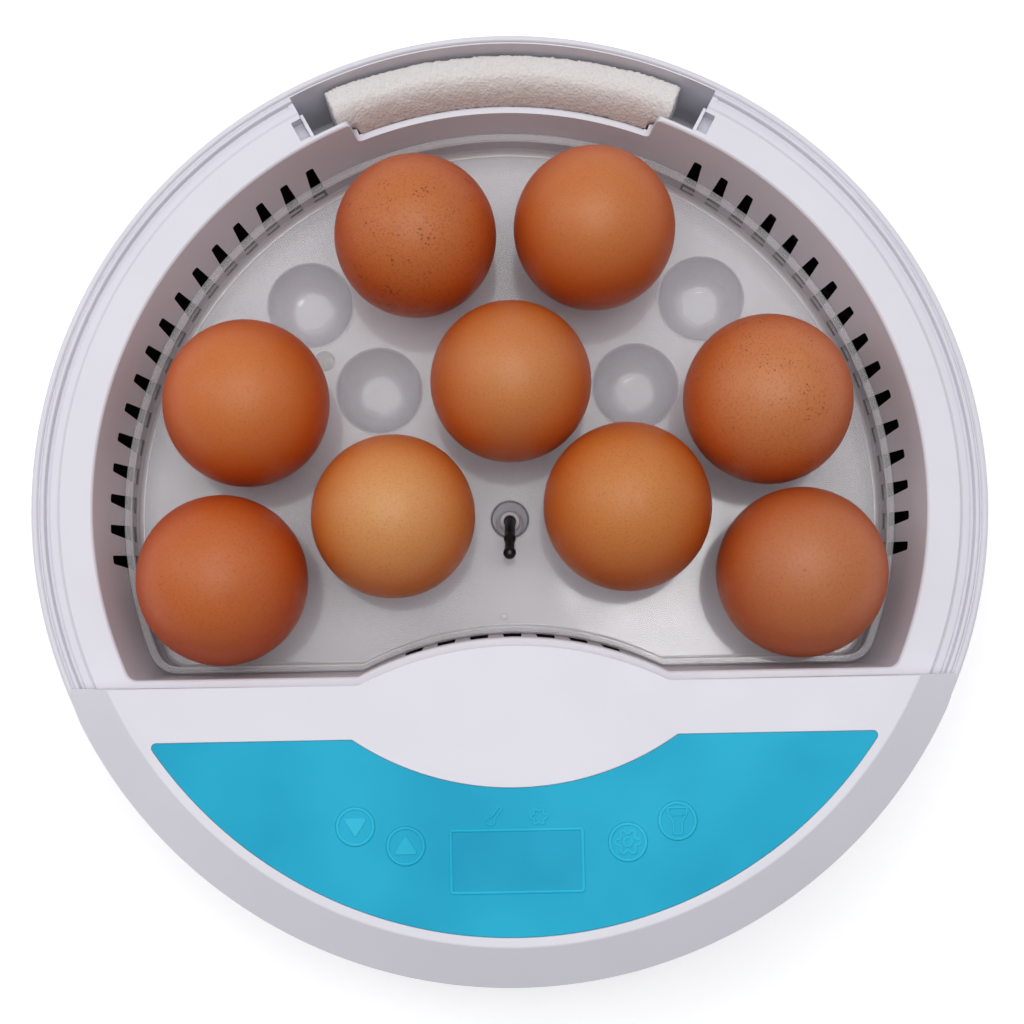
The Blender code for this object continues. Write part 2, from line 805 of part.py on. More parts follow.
def make_fan():
    """A pancake fan under the tub: a fixed stator and a rotor with radial blades."""
    low = BASE_Z + BASE_T + GAP
    stator = [(0.0, 10.8), (8.5, 10.8), (8.5, 6.0), (16.0, 6.0), (16.0, low), (0.0, low)]
    turned("fan_mount", stator, BLACK, 20, FAN)
    hub = [(0.0, 11.2), (9.3, 11.2), (9.3, 6.6), (12.0, 6.6), (12.0, 12.6), (0.0, 12.6)]
    rotor = turned("fan_rotor", hub[::-1], BLACK, 20, FAN)
    blades = []
    for k in range(9):
        blade = box(f"blade_{k}", (11.0, -0.5, 7.1), (20.0, 0.5, 12.2), turn=40.0 * k)
        blade.location = (FAN[0] * MM, FAN[1] * MM, 0.0)
        blades.append(blade)
    join(rotor, merged("blades", blades))


def make_heater():
    """An open heating ring round the fan, on three posts."""
    ring = arc(FAN, HEATER_R, -78, 258, 24)
    tail_x = ring[0][0]
    points = [(tail_x, 6.0, HEATER_Z), (tail_x, 10.0, HEATER_Z)]
    points += [(x, y, HEATER_Z) for x, y in ring]
    points += [(-tail_x, 10.0, HEATER_Z), (-tail_x, 6.0, HEATER_Z)]
    wire("heater_element", points, HEATER_WIRE_R, STEEL, 1)
    low = BASE_Z + BASE_T + GAP
    for k, angle in enumerate((30, 90, 150), 1):
        x = FAN[0] + HEATER_R * math.cos(math.radians(angle))
        y = FAN[1] + HEATER_R * math.sin(math.radians(angle))
        post = rod(f"heater_post_{k}", 3.2, low, 11.6, CERAMIC, 16, (x, y))
        saddle = box(f"saddle_{k}", (-1.9, -5.0, 7.6), (1.9, 5.0, 13.0), turn=angle)
        saddle.location = (x * MM, y * MM, 0.0)
        cut(post, saddle)


def make_probe():
    """The temperature probe, bent forward above the tray, and its grommet in the floor."""
    x, y = PROBE
    route = [(x, y, 11.5), (x, y, 22.0), (x, y - 0.6, 31.0), (x, y - 3.6, 36.5)]
    route += [(x - 0.2, y - 7.6, 40.3), (x - 0.3, y - 10.2, 42.4)]
    sleeve = wire("probe_sleeve", route, 1.35, BLACK, 2)
    bpy.context.view_layer.update()
    graph = bpy.context.evaluated_depsgraph_get()
    mesh = bpy.data.meshes.new_from_object(sleeve.evaluated_get(graph))
    bpy.data.objects.remove(sleeve, do_unlink=True)
    bm = bmesh.new()
    bm.from_mesh(mesh)
    bmesh.ops.remove_doubles(bm, verts=bm.verts, dist=1e-6)
    bpy.data.meshes.remove(mesh)
    probe = from_bmesh("sensor_probe", bm, BLACK)
    bm = bmesh.new()
    bmesh.ops.create_uvsphere(bm, u_segments=10, v_segments=6, radius=1.7 * MM)
    tip = from_bmesh("probe_tip", bm)
    tip.location = [c * MM for c in route[-1]]
    join(probe, tip)
    profile = [(1.6, 18.3), (1.6, 14.2), (2.6, 14.2), (2.6, 16.8), (3.9, 16.8), (3.9, 18.3)]
    turned("sensor_grommet", profile[::-1], CERAMIC, 16, PROBE)


def make_lamp():
    """The small lamp in the chamber's floor, and the board below that holds it."""
    x, y = LAMP
    dome = arc((0.0, 17.0), 2.4, 0, 90, 4)[::-1]
    profile = [(0.0, dome[0][1]), *dome[1:], (2.4, 10.2), (0.0, 10.2)]
    turned("candling_lamp", profile, CLEAR, 16, LAMP)
    box("lamp_board", (x - 7, y - 7, 8.7), (x + 7, y + 7, 9.9), BOARD)


def make_power_inlet():
    """A round low-voltage socket in the wall of the bottom shell."""
    low, high = INLET_Z - 7.0, INLET_Z + 7.0
    block = box("power_inlet", (110.0, -9.0, low), (122.4, 9.0, high), BLACK, INLET_ANGLE)
    hole = rod("socket_hole", 3.2, 0.0, 10.0, sides=20)
    pin = rod("socket_pin", 1.0, -1.0, 8.0, sides=12)
    for piece in (hole, pin):
        direction = Matrix.Rotation(math.radians(INLET_ANGLE), 4, "Z")
        lay = Matrix.Rotation(math.radians(90), 4, "Y")
        start = Matrix.Translation((114.0 * MM, 0.0, INLET_Z * MM))
        piece.matrix_world = direction @ start @ lay
    cut(block, hole)
    join(block, pin)


def make_leads():
    """The leads between the board and what it drives and reads."""
    end = BOARD_Z - GAP
    x, y = PROBE
    leads = {
        "sensor_lead": (
            [(x, y, 11.0), (x, y, 9.4), (x, y - 6, 7), (0, -30, 7), (-1, -52, 13), (-4, -62, 42)],
            (-4, -78),
            0.9,
        ),
        "heater_lead_right": (
            [(5.61, 5.6, 9.5), (6.5, -10, 8.5), (9, -34, 8), (11, -54, 14), (13, -63, 42)],
            (14, -78),
            1.0,
        ),
        "heater_lead_left": (
            [(-5.61, 5.6, 9.5), (-6.5, -10, 8.5), (-9, -34, 8), (-10, -54, 14), (-12, -63, 42)],
            (-13, -78),
            1.0,
        ),
        "fan_lead": (
            [(-9, 24.6, 5.7), (-11, 8, 5.8), (-14, -30, 7), (-17, -53, 13), (-21, -63, 42)],
            (-23, -78),
            0.8,
        ),
        "lamp_lead": (
            [(-47, 38.1, 9.3), (-43, 22, 7), (-36, -24, 7), (-33, -53, 13), (-33, -63, 42)],
            (-34, -78),
            0.8,
        ),
    }
    for name, (route, (x, y), radius) in leads.items():
        wire(name, [*route, (x, y, end - 6.0), (x, y, end)], radius, LEAD, 2)
    around = []
    for turn, radius, z in ((0, 109.5, 24), (1, 107.6, 24), (7, 107.2, 23.5), (16, 110.5, 22.5)):
        a = math.radians(INLET_ANGLE - turn)
        around.append((radius * math.cos(a), radius * math.sin(a), z))
    for k in range(5):
        a = math.radians(INLET_ANGLE - 32 - 16 * k)
        around.append((113.0 * math.cos(a), 113.0 * math.sin(a), 21.0 - 1.2 * k))
    rest = [(80, -74, 26), (60, -78, 46), (36, -82, end - 5.0), (34, -82, end)]
    wire("power_lead", [*around, *rest], 1.3, BLACK, 2)


make_upper_casing()
make_bottom_shell()
make_fasteners_and_feet()
make_control_housing()
make_panel()
make_control_board()
make_egg_tray()
make_eggs()
make_sponge()
make_fan()
make_heater()
make_probe()
make_lamp()
make_power_inlet()
make_leads()
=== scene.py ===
"""The looks of the round egg incubator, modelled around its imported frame.

Frame: origin at the centre of the outer circle on the surface that the feet stand on,
+X to the right of the control panel, +Y towards the sponge, +Z up.
Sizes below are millimetres. The helpers turn them into metres with MM.
"""

import math

import bmesh
import bpy
from mathutils import Matrix, Vector, noise


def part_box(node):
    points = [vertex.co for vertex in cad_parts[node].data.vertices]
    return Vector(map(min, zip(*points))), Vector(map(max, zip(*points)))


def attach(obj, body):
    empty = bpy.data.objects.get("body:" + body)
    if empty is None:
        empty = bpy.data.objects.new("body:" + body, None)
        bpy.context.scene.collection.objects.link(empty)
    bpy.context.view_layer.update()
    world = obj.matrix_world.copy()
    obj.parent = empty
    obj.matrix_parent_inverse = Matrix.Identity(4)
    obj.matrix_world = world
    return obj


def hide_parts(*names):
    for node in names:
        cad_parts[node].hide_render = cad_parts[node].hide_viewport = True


MM = 0.001

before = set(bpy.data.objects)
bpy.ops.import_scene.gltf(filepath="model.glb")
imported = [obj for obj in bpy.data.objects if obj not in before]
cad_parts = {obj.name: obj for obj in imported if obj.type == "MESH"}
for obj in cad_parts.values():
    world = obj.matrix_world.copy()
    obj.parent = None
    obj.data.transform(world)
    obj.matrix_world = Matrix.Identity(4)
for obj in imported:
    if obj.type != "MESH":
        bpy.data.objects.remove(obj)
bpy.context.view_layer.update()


def span(node):
    """A CAD node's lowest and highest corners, in millimetres."""
    low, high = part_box(node)
    return low / MM, high / MM


def centre_of(node):
    low, high = span(node)
    return (low + high) / 2


def spot_of(node):
    """The (x, y) of a CAD node's middle, in millimetres."""
    return tuple(centre_of(node))[:2]


# Outer body, from the frame
BODY_R = span("upper_casing")[1].x
RIM_Z = span("upper_casing")[1].z
SKIRT_BOTTOM = 50.3
SKIRT_T = 2.1
PLATE_T = 2.2
BASE_Z = span("bottom_shell")[0].z
SHELL_R = span("bottom_shell")[1].x
SHELL_TOP = span("bottom_shell")[1].z
SHELL_T = 1.6
BASE_FLAT_R = 106.0

# Chamber
CHAMBER_R = 108.9
CHAMBER_FRONT = -45.0
CHAMBER_CORNER = 3.0
WALL_DRAFT = 0.187
FRONT_DRAFT = 0.08
WALL_T = 2.0
BULGE_HALF = 40.2
BULGE_RISE = 9.5
BULGE_R = (BULGE_HALF**2 + BULGE_RISE**2) / (2 * BULGE_RISE)
FLOOR_Z = 16.5
FLOOR_T = 1.5
EDGE_R = 0.7
FLOOR_FILLET = 2.4

# Air slots
SLOT_FIRST = 29.7
SLOT_PITCH = 4.465
SLOTS_PER_SIDE = 16
SLOT_LAST = SLOT_FIRST + SLOT_PITCH * (SLOTS_PER_SIDE - 1)
SLOT_W = 4.5
SLOT_BOTTOM = 28.0
SLOT_TOP = 48.5
FRONT_SLOTS = 7
FRONT_SLOT_PITCH = 8.75
FRONT_SLOT_W = 5.1
FRONT_SLOT_TOP = 57.0
FRONT_ROW_HALF = 31.0
SLOT_OUT_R = 111.0
SLOT_REACH = 12.5
RELIEF_DEPTH = 5.0
SIDE_SKIN = 0.8
FRONT_SKIN = 0.6

# Sponge pocket
POCKET_HALF = 27.5
POCKET_IN = 110.3
POCKET_OUT = 122.8
POCKET_DRAFT = 0.125
POCKET_FLOOR = 34.0
POCKET_WALL = 1.4
LOW_WALL_HALF = 21.6
LOW_WALL_Z = 50.6
LOW_WALL_R = 108.6
SPONGE_HALF = 23.4
NOTCH_TURN = POCKET_HALF + 0.75

# Tray
TRAY_Z = 30.0
TRAY_TOP = span("egg_tray")[1].z
TRAY_T = 1.2
TRAY_CLEAR = 0.6
TRAY_CORNER = 8.0
TRAY_RIM_R = 0.3
TRAY_RIM_W = 1.9
CUP_R = 11.65
CUP_FLAT_R = 4.35
CUP_DEPTH = 12.0
CUP_WALL = 0.8
EMPTY_CUPS = ((-54.1, 58.9), (54.1, 58.9), (-35.3, 34.7), (35.3, 34.7))
PROBE_HOLE_R = 4.7

# Control housing and panel
HOUSING_TOP = span("control_housing")[1].z
HOUSING_LOW = span("control_housing")[0].z
HOUSING_TOP_R = 114.2
HOUSING_BACK = -47.4
HOUSING_BULGE_HALF = 39.8
HOUSING_T = 2.0
FILM_TOP = span("panel_overlay")[1].z
FILM_T = 0.6
FILM_RECESS = 0.8
FILM_R = 111.6
FILM_BACK = -61.4
FILM_BULGE_HALF = 41.5
FILM_BULGE_RISE = -12.8
FILM_CORNER = 1.1
KEY_NAMES = ("down", "up", "set", "light")
KEY_R = 5.0
RIDGE_W = 0.8
RIDGE_H = 0.24

FLOOR_REACH = 3000.0


# Materials


def fed(tree, made, inputs):
    """A node with its inputs given as values or as sockets to link."""
    for key, value in inputs.items():
        if isinstance(value, bpy.types.NodeSocket):
            tree.links.new(value, made.inputs[key])
        else:
            made.inputs[key].default_value = value
    return made


def node(tree, kind, inputs=None, **settings):
    """A shader node with its inputs and settings."""
    made = tree.nodes.new("ShaderNode" + kind)
    for key, value in settings.items():
        setattr(made, key, value)
    return fed(tree, made, inputs or {})


def new_material(name, roughness, metallic=0.0, ior=1.5):
    made = bpy.data.materials.new(name)
    made.use_nodes = True
    tree = made.node_tree
    inputs = {"Roughness": roughness, "Metallic": metallic, "IOR": ior}
    return made, tree, fed(tree, tree.nodes["Principled BSDF"], inputs)


def place(tree, shift=(0.0, 0.0, 0.0)):
    """Coordinates fixed to the object, in metres."""
    coordinates = node(tree, "TexCoord").outputs["Object"]
    return node(tree, "Mapping", {"Vector": coordinates, "Location": shift}).outputs["Vector"]


def grain(tree, where, size, detail=3.0):
    """Noise whose lumps are about size millimetres across."""
    settings = {"Vector": where, "Scale": 1 / (size * MM), "Detail": detail}
    return node(tree, "TexNoise", settings).outputs["Fac"]


def between(tree, factor, low=0.0, high=1.0, start=0.3, end=0.7):
    """A factor stretched to run between two numbers."""
    settings = {"Value": factor, "From Min": start, "From Max": end, "To Min": low, "To Max": high}
    return node(tree, "MapRange", settings).outputs["Result"]


def blended(tree, factor, first, second):
    """A mix of two colours, each a tuple or a socket."""
    made = node(tree, "Mix", data_type="RGBA")
    tree.links.new(factor, made.inputs["Factor"])
    colour_sockets = [s for s in made.inputs if s.type == "RGBA"]
    for socket, colour in zip(colour_sockets, (first, second)):
        if isinstance(colour, bpy.types.NodeSocket):
            tree.links.new(colour, socket)
        else:
            socket.default_value = (*colour, 1.0)
    return [s for s in made.outputs if s.type == "RGBA"][0]


def bumped(tree, shader, height, strength, depth):
    """A bump of that depth in millimetres."""
    settings = {"Height": height, "Strength": strength, "Distance": depth * MM}
    fed(tree, shader, {"Normal": node(tree, "Bump", settings).outputs["Normal"]})


def moulded(name, colour, roughness, cloud=0.03, pit=0.35, depth=0.006):
    """Moulded plastic or rubber: slow changes of tone, fine texture, uneven gloss."""
    made, tree, shader = new_material(name, roughness)
    where = place(tree)
    darker = tuple(c * (1 - cloud) for c in colour)
    lighter = tuple(min(1.0, c * (1 + cloud)) for c in colour)
    tone = between(tree, grain(tree, where, 42.0))
    fed(tree, shader, {"Base Color": blended(tree, tone, darker, lighter)})
    uneven = between(tree, grain(tree, where, 9.0), roughness * 0.88, roughness * 1.12)
    fed(tree, shader, {"Roughness": uneven})
    bumped(tree, shader, grain(tree, where, pit), 0.35, depth)
    return made


def film_material(name, colour):
    """Glossy overlay film with a slightly wavy surface."""
    made, tree, shader = new_material(name, 0.42)
    where = place(tree)
    tone = between(tree, grain(tree, where, 34.0, 2.0))
    darker = tuple(c * 0.9 for c in colour)
    lighter = (colour[0] * 2.5, colour[1] * 1.1, colour[2] * 1.06)
    fed(tree, shader, {"Specular IOR Level": 0.14})
    fed(tree, shader, {"Base Color": blended(tree, tone, darker, lighter)})
    bumped(tree, shader, grain(tree, where, 6.0, 5.0), 0.3, 0.03)
    return made


def egg_material(name, tone, speckle, seed, middle, half):
    """Brown eggshell with painted light and shade, paler on top and deeper below; faintly mottled, with
    fine pores and speckles.
    """
    made, tree, shader = new_material(name, 0.46, ior=1.45)
    coordinates = node(tree, "TexCoord").outputs["Object"]
    height = node(tree, "SeparateXYZ", {"Vector": coordinates}).outputs["Z"]
    where = place(tree, (seed * 0.173, seed * 0.071, seed * 0.119))
    # Painted light and shade: the top of the blunt end keeps the egg's tone, lower down it turns darker and
    # deeper, as light from above falls off.
    painted_shade_tone = (tone[0] * 0.98, tone[1] * 0.52, tone[2] * 0.22)
    low, high = (middle + 0.5 * half) * MM, (middle + 0.99 * half) * MM
    colour = blended(tree, between(tree, height, 0.0, 1.0, low, high), painted_shade_tone, tone)
    mottle = between(tree, grain(tree, where, 13.0, 3.0), 0.0, 0.3, 0.35, 0.7)
    colour = blended(tree, mottle, colour, tuple(c * f for c, f in zip(tone, (0.9, 0.72, 0.55))))
    fine = between(tree, grain(tree, where, 0.55, 2.0), 0.0, 0.26 + 0.35 * speckle, 0.5, 0.72)
    colour = blended(tree, fine, colour, tuple(c * f for c, f in zip(tone, (0.6, 0.4, 0.3))))
    dots = node(tree, "TexVoronoi", {"Vector": where, "Scale": 1 / (1.0 * MM)})
    size = between(tree, grain(tree, where, 6.0), 0.0, 0.12 + 0.26 * speckle, 0.54 - 0.16 * speckle, 0.7)
    dot = node(tree, "Math", {0: dots.outputs["Distance"], 1: size}, operation="LESS_THAN")
    faint = node(tree, "Math", {0: dot.outputs[0], 1: 0.5 + 0.3 * speckle}, operation="MULTIPLY")
    colour = blended(tree, faint.outputs[0], colour, (0.19, 0.04, 0.01))
    fed(tree, shader, {"Base Color": colour})
    gloss = between(tree, grain(tree, where, 3.0), 0.4, 0.52)
    fed(tree, shader, {"Roughness": gloss})
    pores = node(tree, "TexVoronoi", {"Vector": where, "Scale": 1 / (0.5 * MM)})
    bumped(tree, shader, pores.outputs["Distance"], 0.55, 0.045)
    return made


def sponge_material():
    """Open cream-white foam, with painted shade: darker and pinker on the half next to the chamber."""
    made, tree, shader = new_material("sponge_foam", 0.95)
    coordinates = node(tree, "TexCoord").outputs["Object"]
    flat = node(tree, "VectorMath", {0: coordinates, 1: (1.0, 1.0, 0.0)}, operation="MULTIPLY")
    far = node(tree, "VectorMath", {0: flat.outputs[0]}, operation="LENGTH").outputs["Value"]
    rough = {"Value": grain(tree, coordinates, 16.0), "To Min": -MM, "To Max": MM}
    wander = node(tree, "MapRange", rough)
    shifted = node(tree, "Math", {0: far, 1: wander.outputs["Result"]}, operation="ADD").outputs[0]
    # Painted shade: darker and pinker towards the low wall, with a wavering edge.
    painted_inner_shade = between(tree, shifted, 1.0, 0.0, (LOW_WALL_R + 1.5) * MM, (LOW_WALL_R + 7.0) * MM)
    colour = blended(tree, painted_inner_shade, (0.74, 0.715, 0.70), (0.50, 0.41, 0.385))
    cells = node(tree, "TexVoronoi", {"Vector": coordinates, "Scale": 1 / (0.7 * MM)})
    # Painted shade: darker in the pits of the foam's cells.
    painted_pore_shade = between(tree, cells.outputs["Distance"], 0.4, 0.0, 0.0, 0.3)
    colour = blended(tree, painted_pore_shade, colour, (0.52, 0.47, 0.44))
    fed(tree, shader, {"Base Color": colour})
    bumped(tree, shader, cells.outputs["Distance"], 0.7, 0.3)
    fed(tree, shader, {"Sheen Weight": 0.15})
    return made


def clear_material(name, cover, most, colour):
    """Clear plastic, faintly hazy, that shows more where it is seen edge on."""
    made, tree, shader = new_material(name, 0.08, ior=1.49)
    fed(tree, shader, {"Base Color": (*colour, 1.0), "Specular IOR Level": 1.0})
    fed(tree, shader, {"Coat Weight": 1.0, "Coat Roughness": 0.05})
    where = place(tree)
    facing = node(tree, "LayerWeight", {"Blend": 0.4}).outputs["Facing"]
    haze = between(tree, grain(tree, where, 24.0), 0.0, 0.06)
    edge = between(tree, facing, cover, most, 0.1, 1.0)
    total = node(tree, "Math", {0: edge, 1: haze}, operation="ADD", use_clamp=True)
    fed(tree, shader, {"Alpha": total.outputs[0]})
    fed(tree, shader, {"Roughness": between(tree, grain(tree, where, 14.0), 0.06, 0.16)})
    bumped(tree, shader, grain(tree, where, 7.0, 2.0), 0.12, 0.08)
    return made


def board_material():
    """Green laminate with fine lighter tracks."""
    made, tree, shader = new_material("board_lacquer", 0.35)
    where = place(tree)
    tracks = node(tree, "TexBrick", {"Vector": where, "Scale": 180.0, "Mortar Size": 0.06})
    lines = between(tree, tracks.outputs["Fac"], 0.0, 0.6, 0.0, 1.0)
    green = blended(tree, lines, (0.015, 0.16, 0.06), (0.05, 0.3, 0.12))
    fed(tree, shader, {"Base Color": green})
    return made


def metal_material():
    """Plated steel with fine marks."""
    made, tree, shader = new_material("plated_steel", 0.3, metallic=1.0)
    where = place(tree)
    tone = between(tree, grain(tree, where, 2.0))
    fed(tree, shader, {"Base Color": blended(tree, tone, (0.5, 0.5, 0.52), (0.66, 0.66, 0.67))})
    fed(tree, shader, {"Roughness": between(tree, grain(tree, where, 0.8), 0.22, 0.42)})
    return made


WHITE = moulded("white_plastic", (0.69, 0.68, 0.745), 0.36, cloud=0.02)
BLUE = film_material("blue_film", (0.005, 0.392, 0.612))
# Painted light: a lighter copy of the film's blue for the embossed lines and marks, as if they catch the
# light.
BLUE_RIDGE_PAINTED_LIGHT = film_material("blue_film_ridge_painted_light", (0.012, 0.46, 0.68))
BLUE_WINDOW = film_material("blue_film_window", (0.004, 0.362, 0.575))
BLACK = moulded("black_plastic", (0.008, 0.0075, 0.008), 0.3, cloud=0.25, depth=0.015)
RUBBER = moulded("foot_rubber", (0.03, 0.03, 0.032), 0.8, cloud=0.2, pit=0.6, depth=0.04)
SILICONE = moulded("white_silicone", (0.95, 0.94, 0.96), 0.5, cloud=0.02)
# Painted shade: near-black for faces inside the body that the light does not reach.
PAINTED_SHADE = moulded("painted_shade_plastic", (0.004, 0.0035, 0.004), 0.95, cloud=0.2)
CERAMIC = moulded("ceramic", (0.72, 0.7, 0.64), 0.5, cloud=0.05)
SLEEVE = moulded("red_sleeve", (0.45, 0.03, 0.025), 0.5, cloud=0.08)
DARK_GLASS = moulded("display_face", (0.02, 0.02, 0.024), 0.15, cloud=0.2)
BOARD = board_material()
STEEL = metal_material()
CLEAR = clear_material("clear_styrene", 0.22, 0.1, (0.86, 0.86, 0.89))
# Painted shade: a dark copy of the clear plastic for the outline round the probe hole.
CLEAR_RING_PAINTED_SHADE = clear_material("clear_styrene_ring_painted_shade", 0.6, 0.75, (0.12, 0.11, 0.12))
# Painted highlight: a whiter copy of the clear plastic for the tray's rims and cup lips.
CLEAR_EDGE_PAINTED_HIGHLIGHT = clear_material("clear_styrene_edge_painted_highlight", 0.45, 0.5, (0.92, 0.92, 0.94))
FOAM = sponge_material()


# Meshes


def helper(name, data):
    """An object in the scene, from a mesh, a curve, a light or a camera."""
    made = bpy.data.objects.new(name, data)
    bpy.context.scene.collection.objects.link(made)
    return made


def piece(name, mesh, look, replaced=(), body="base"):
    """A visible piece: in place, riding on its body, and standing for its CAD nodes."""
    made = helper(name, mesh)
    mesh.materials.clear()
    mesh.materials.append(look)
    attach(made, body)
    if replaced:
        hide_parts(*replaced)
    return made


def mesh_from(name, bm):
    bmesh.ops.recalc_face_normals(bm, faces=bm.faces)
    mesh = bpy.data.meshes.new(name)
    bm.to_mesh(mesh)
    bm.free()
    return mesh


def taken(obj):
    """The evaluated mesh of an object, in world space. The object is removed."""
    bpy.context.view_layer.update()
    graph = bpy.context.evaluated_depsgraph_get()
    mesh = bpy.data.meshes.new_from_object(obj.evaluated_get(graph))
    mesh.transform(obj.matrix_world)
    bpy.data.objects.remove(obj, do_unlink=True)
    return mesh


def opened(*meshes):
    """Meshes in one bmesh. They are removed."""
    bm = bmesh.new()
    for mesh in meshes:
        bm.from_mesh(mesh)
        bpy.data.meshes.remove(mesh)
    return bm


def turned(profile, sides=96, at=(0.0, 0.0)):
    """A closed body of revolution from (radius, z) points, inside first."""
    mesh = bpy.data.meshes.new("turned")
    points = [(r * MM, 0.0, z * MM) for r, z in profile]
    edges = [(i, i + 1) for i in range(len(points) - 1)]
    if profile[0][0] > 0 or profile[-1][0] > 0:
        edges.append((len(points) - 1, 0))
    mesh.from_pydata(points, edges, [])
    made = helper("turned", mesh)
    made.location = (at[0] * MM, at[1] * MM, 0.0)
    screw = made.modifiers.new("turn", "SCREW")
    screw.steps = screw.render_steps = sides
    screw.use_merge_vertices = True
    screw.merge_threshold = 0.000002
    return mesh_from("turned", opened(taken(made)))


def plug(radius, low, high, sides, at):
    """An upright cylinder."""
    return turned([(0.0, low), (radius, low), (radius, high), (0.0, high)], sides, at)


def loft(sections):
    """A closed body through flat outlines, given as (z, [(x, y), ...]) from low to high."""
    bm = bmesh.new()
    rings = [[bm.verts.new((x * MM, y * MM, z * MM)) for x, y in outline] for z, outline in sections]
    for low, high in zip(rings, rings[1:]):
        for i in range(len(low)):
            j = (i + 1) % len(low)
            bm.faces.new((low[i], low[j], high[j], high[i]))
    bm.faces.new(rings[0][::-1])
    bm.faces.new(rings[-1])
    return mesh_from("loft", bm)


def block(low, high, turn=0.0, round_by=0.0):
    """A block between two corners, its edges rounded, turned about the Z axis."""
    bm = bmesh.new()
    bmesh.ops.create_cube(bm, size=1.0)
    bmesh.ops.scale(bm, vec=[(b - a) * MM for a, b in zip(low, high)], verts=bm.verts)
    bmesh.ops.translate(bm, vec=[(a + b) / 2 * MM for a, b in zip(low, high)], verts=bm.verts)
    if round_by:
        soft = {"segments": 3, "profile": 0.5, "affect": "EDGES"}
        bmesh.ops.bevel(bm, geom=bm.edges[:], offset=round_by * MM, **soft)
    bmesh.ops.rotate(bm, matrix=Matrix.Rotation(math.radians(turn), 3, "Z"), verts=bm.verts)
    return mesh_from("block", bm)


def gathered(meshes):
    """Several meshes as one. They are removed."""
    bm = opened(*meshes)
    made = bpy.data.meshes.new("gathered")
    bm.to_mesh(made)
    bm.free()
    return made


def cut(mesh):
    return ("DIFFERENCE", mesh)


def add(mesh):
    return ("UNION", mesh)


def combined(base, *steps):
    """A mesh after Boolean steps, each made by cut or add."""
    made = helper("work", base)
    others = []
    for operation, mesh in steps:
        other = helper("other", mesh)
        others.append(other)
        step = made.modifiers.new(operation, "BOOLEAN")
        step.operation = operation
        step.solver = "MANIFOLD"
        step.object = other
    mesh = taken(made)
    for other in others:
        bpy.data.objects.remove(other, do_unlink=True)
    return mesh


def shaded(obj, angle=30.0):
    """Smooth shading, sharp at edges over the angle, with flat faces kept flat."""
    obj.data.shade_smooth()
    obj.data.set_sharp_from_angle(angle=math.radians(angle))
    even = obj.modifiers.new("even", "WEIGHTED_NORMAL")
    even.keep_sharp = True
    even.weight = 100
    return obj


# Outlines


def arc(radius, start, end, steps, centre=(0.0, 0.0)):
    """Points on a circle between two angles in degrees, both ends included."""
    angles = [math.radians(start + (end - start) * k / steps) for k in range(steps + 1)]
    return [(centre[0] + radius * math.cos(a), centre[1] + radius * math.sin(a)) for a in angles]


def bulge(half, base, rise, steps=36):
    """A circular arc from (-half, base) over (0, base + rise) to (half, base)."""
    radius = (half**2 + rise**2) / (2 * abs(rise))
    spread = math.degrees(math.asin(half / radius))
    up = math.copysign(1.0, rise)
    centre = (0.0, base + rise - up * radius)
    return arc(radius, up * (90 + spread), up * (90 - spread), steps, centre)


def rounded(points, corners, radius, steps=8):
    """The outline with an arc in place of each of the numbered corners."""
    made = []
    for i, point in enumerate(points):
        if i not in corners:
            made.append(point)
            continue
        here = Vector(point)
        before = (Vector(points[i - 1]) - here).normalized()
        after = (Vector(points[(i + 1) % len(points)]) - here).normalized()
        half = before.angle(after) / 2
        centre = here + (before + after).normalized() * radius / math.sin(half)
        first = here + before * radius / math.tan(half) - centre
        last = here + after * radius / math.tan(half) - centre
        turn = first.angle_signed(last)
        for k in range(steps + 1):
            made.append(tuple(centre + Matrix.Rotation(-turn * k / steps, 2) @ first))
    return made


def ended_arc(radius, start, end, spare, steps):
    """An arc about the origin whose first and last stretch leave room for a rounded corner."""
    trim = math.degrees(spare / radius)
    corner = arc(radius, start, end, 1)
    inner = arc(radius, start + trim, end - trim, steps)
    return [corner[0], *inner, corner[1]]


def chamber_outline(radius, front, corner):
    """Round at the back, straight at the front with a bulge in the middle."""
    dip = math.degrees(math.asin(front / radius))
    back = ended_arc(radius, dip, 180 - dip, 0.8 * corner + 0.3, 200)
    return rounded(back + bulge(BULGE_HALF, front, BULGE_RISE), (0, len(back) - 1), corner)


def crescent(radius, back, half, rise, corner=0.0):
    """The front part of a circle, with a bulge or a hollow in its straight back edge."""
    dip = math.degrees(math.asin(back / radius))
    front = ended_arc(radius, -180 - dip, dip, 1.9 * corner + 0.3, 150)
    outline = front + bulge(half, back, rise)[::-1]
    return rounded(outline, (0, len(front) - 1), corner) if corner else outline


def sector(inner, outer, half, steps=56):
    """A band about +Y between two radii."""
    far = arc(outer, 90 - half, 90 + half, steps)
    return far + arc(inner, 90 + half, 90 - half, steps)


def quarter(steps, low=0.0, high=90.0):
    """(sine, 1 - cosine) pairs for a rounded edge."""
    angles = [math.radians(low + (high - low) * k / steps) for k in range(steps + 1)]
    return [(math.sin(a), 1 - math.cos(a)) for a in angles]


# Upper casing


def wall_r(z):
    """The chamber wall's radius at a height."""
    return CHAMBER_R - (RIM_Z - z) * WALL_DRAFT


def front_y(z):
    """Where the chamber's straight front stands at a height."""
    return CHAMBER_FRONT + (RIM_Z - z) * FRONT_DRAFT


def pocket_r(z):
    """The sponge pocket's outer radius at a height."""
    return POCKET_OUT - (RIM_Z - z) * POCKET_DRAFT


def tub_outline(z, grow):
    return chamber_outline(wall_r(z) + grow, front_y(z) - grow, max(0.5, CHAMBER_CORNER + grow))


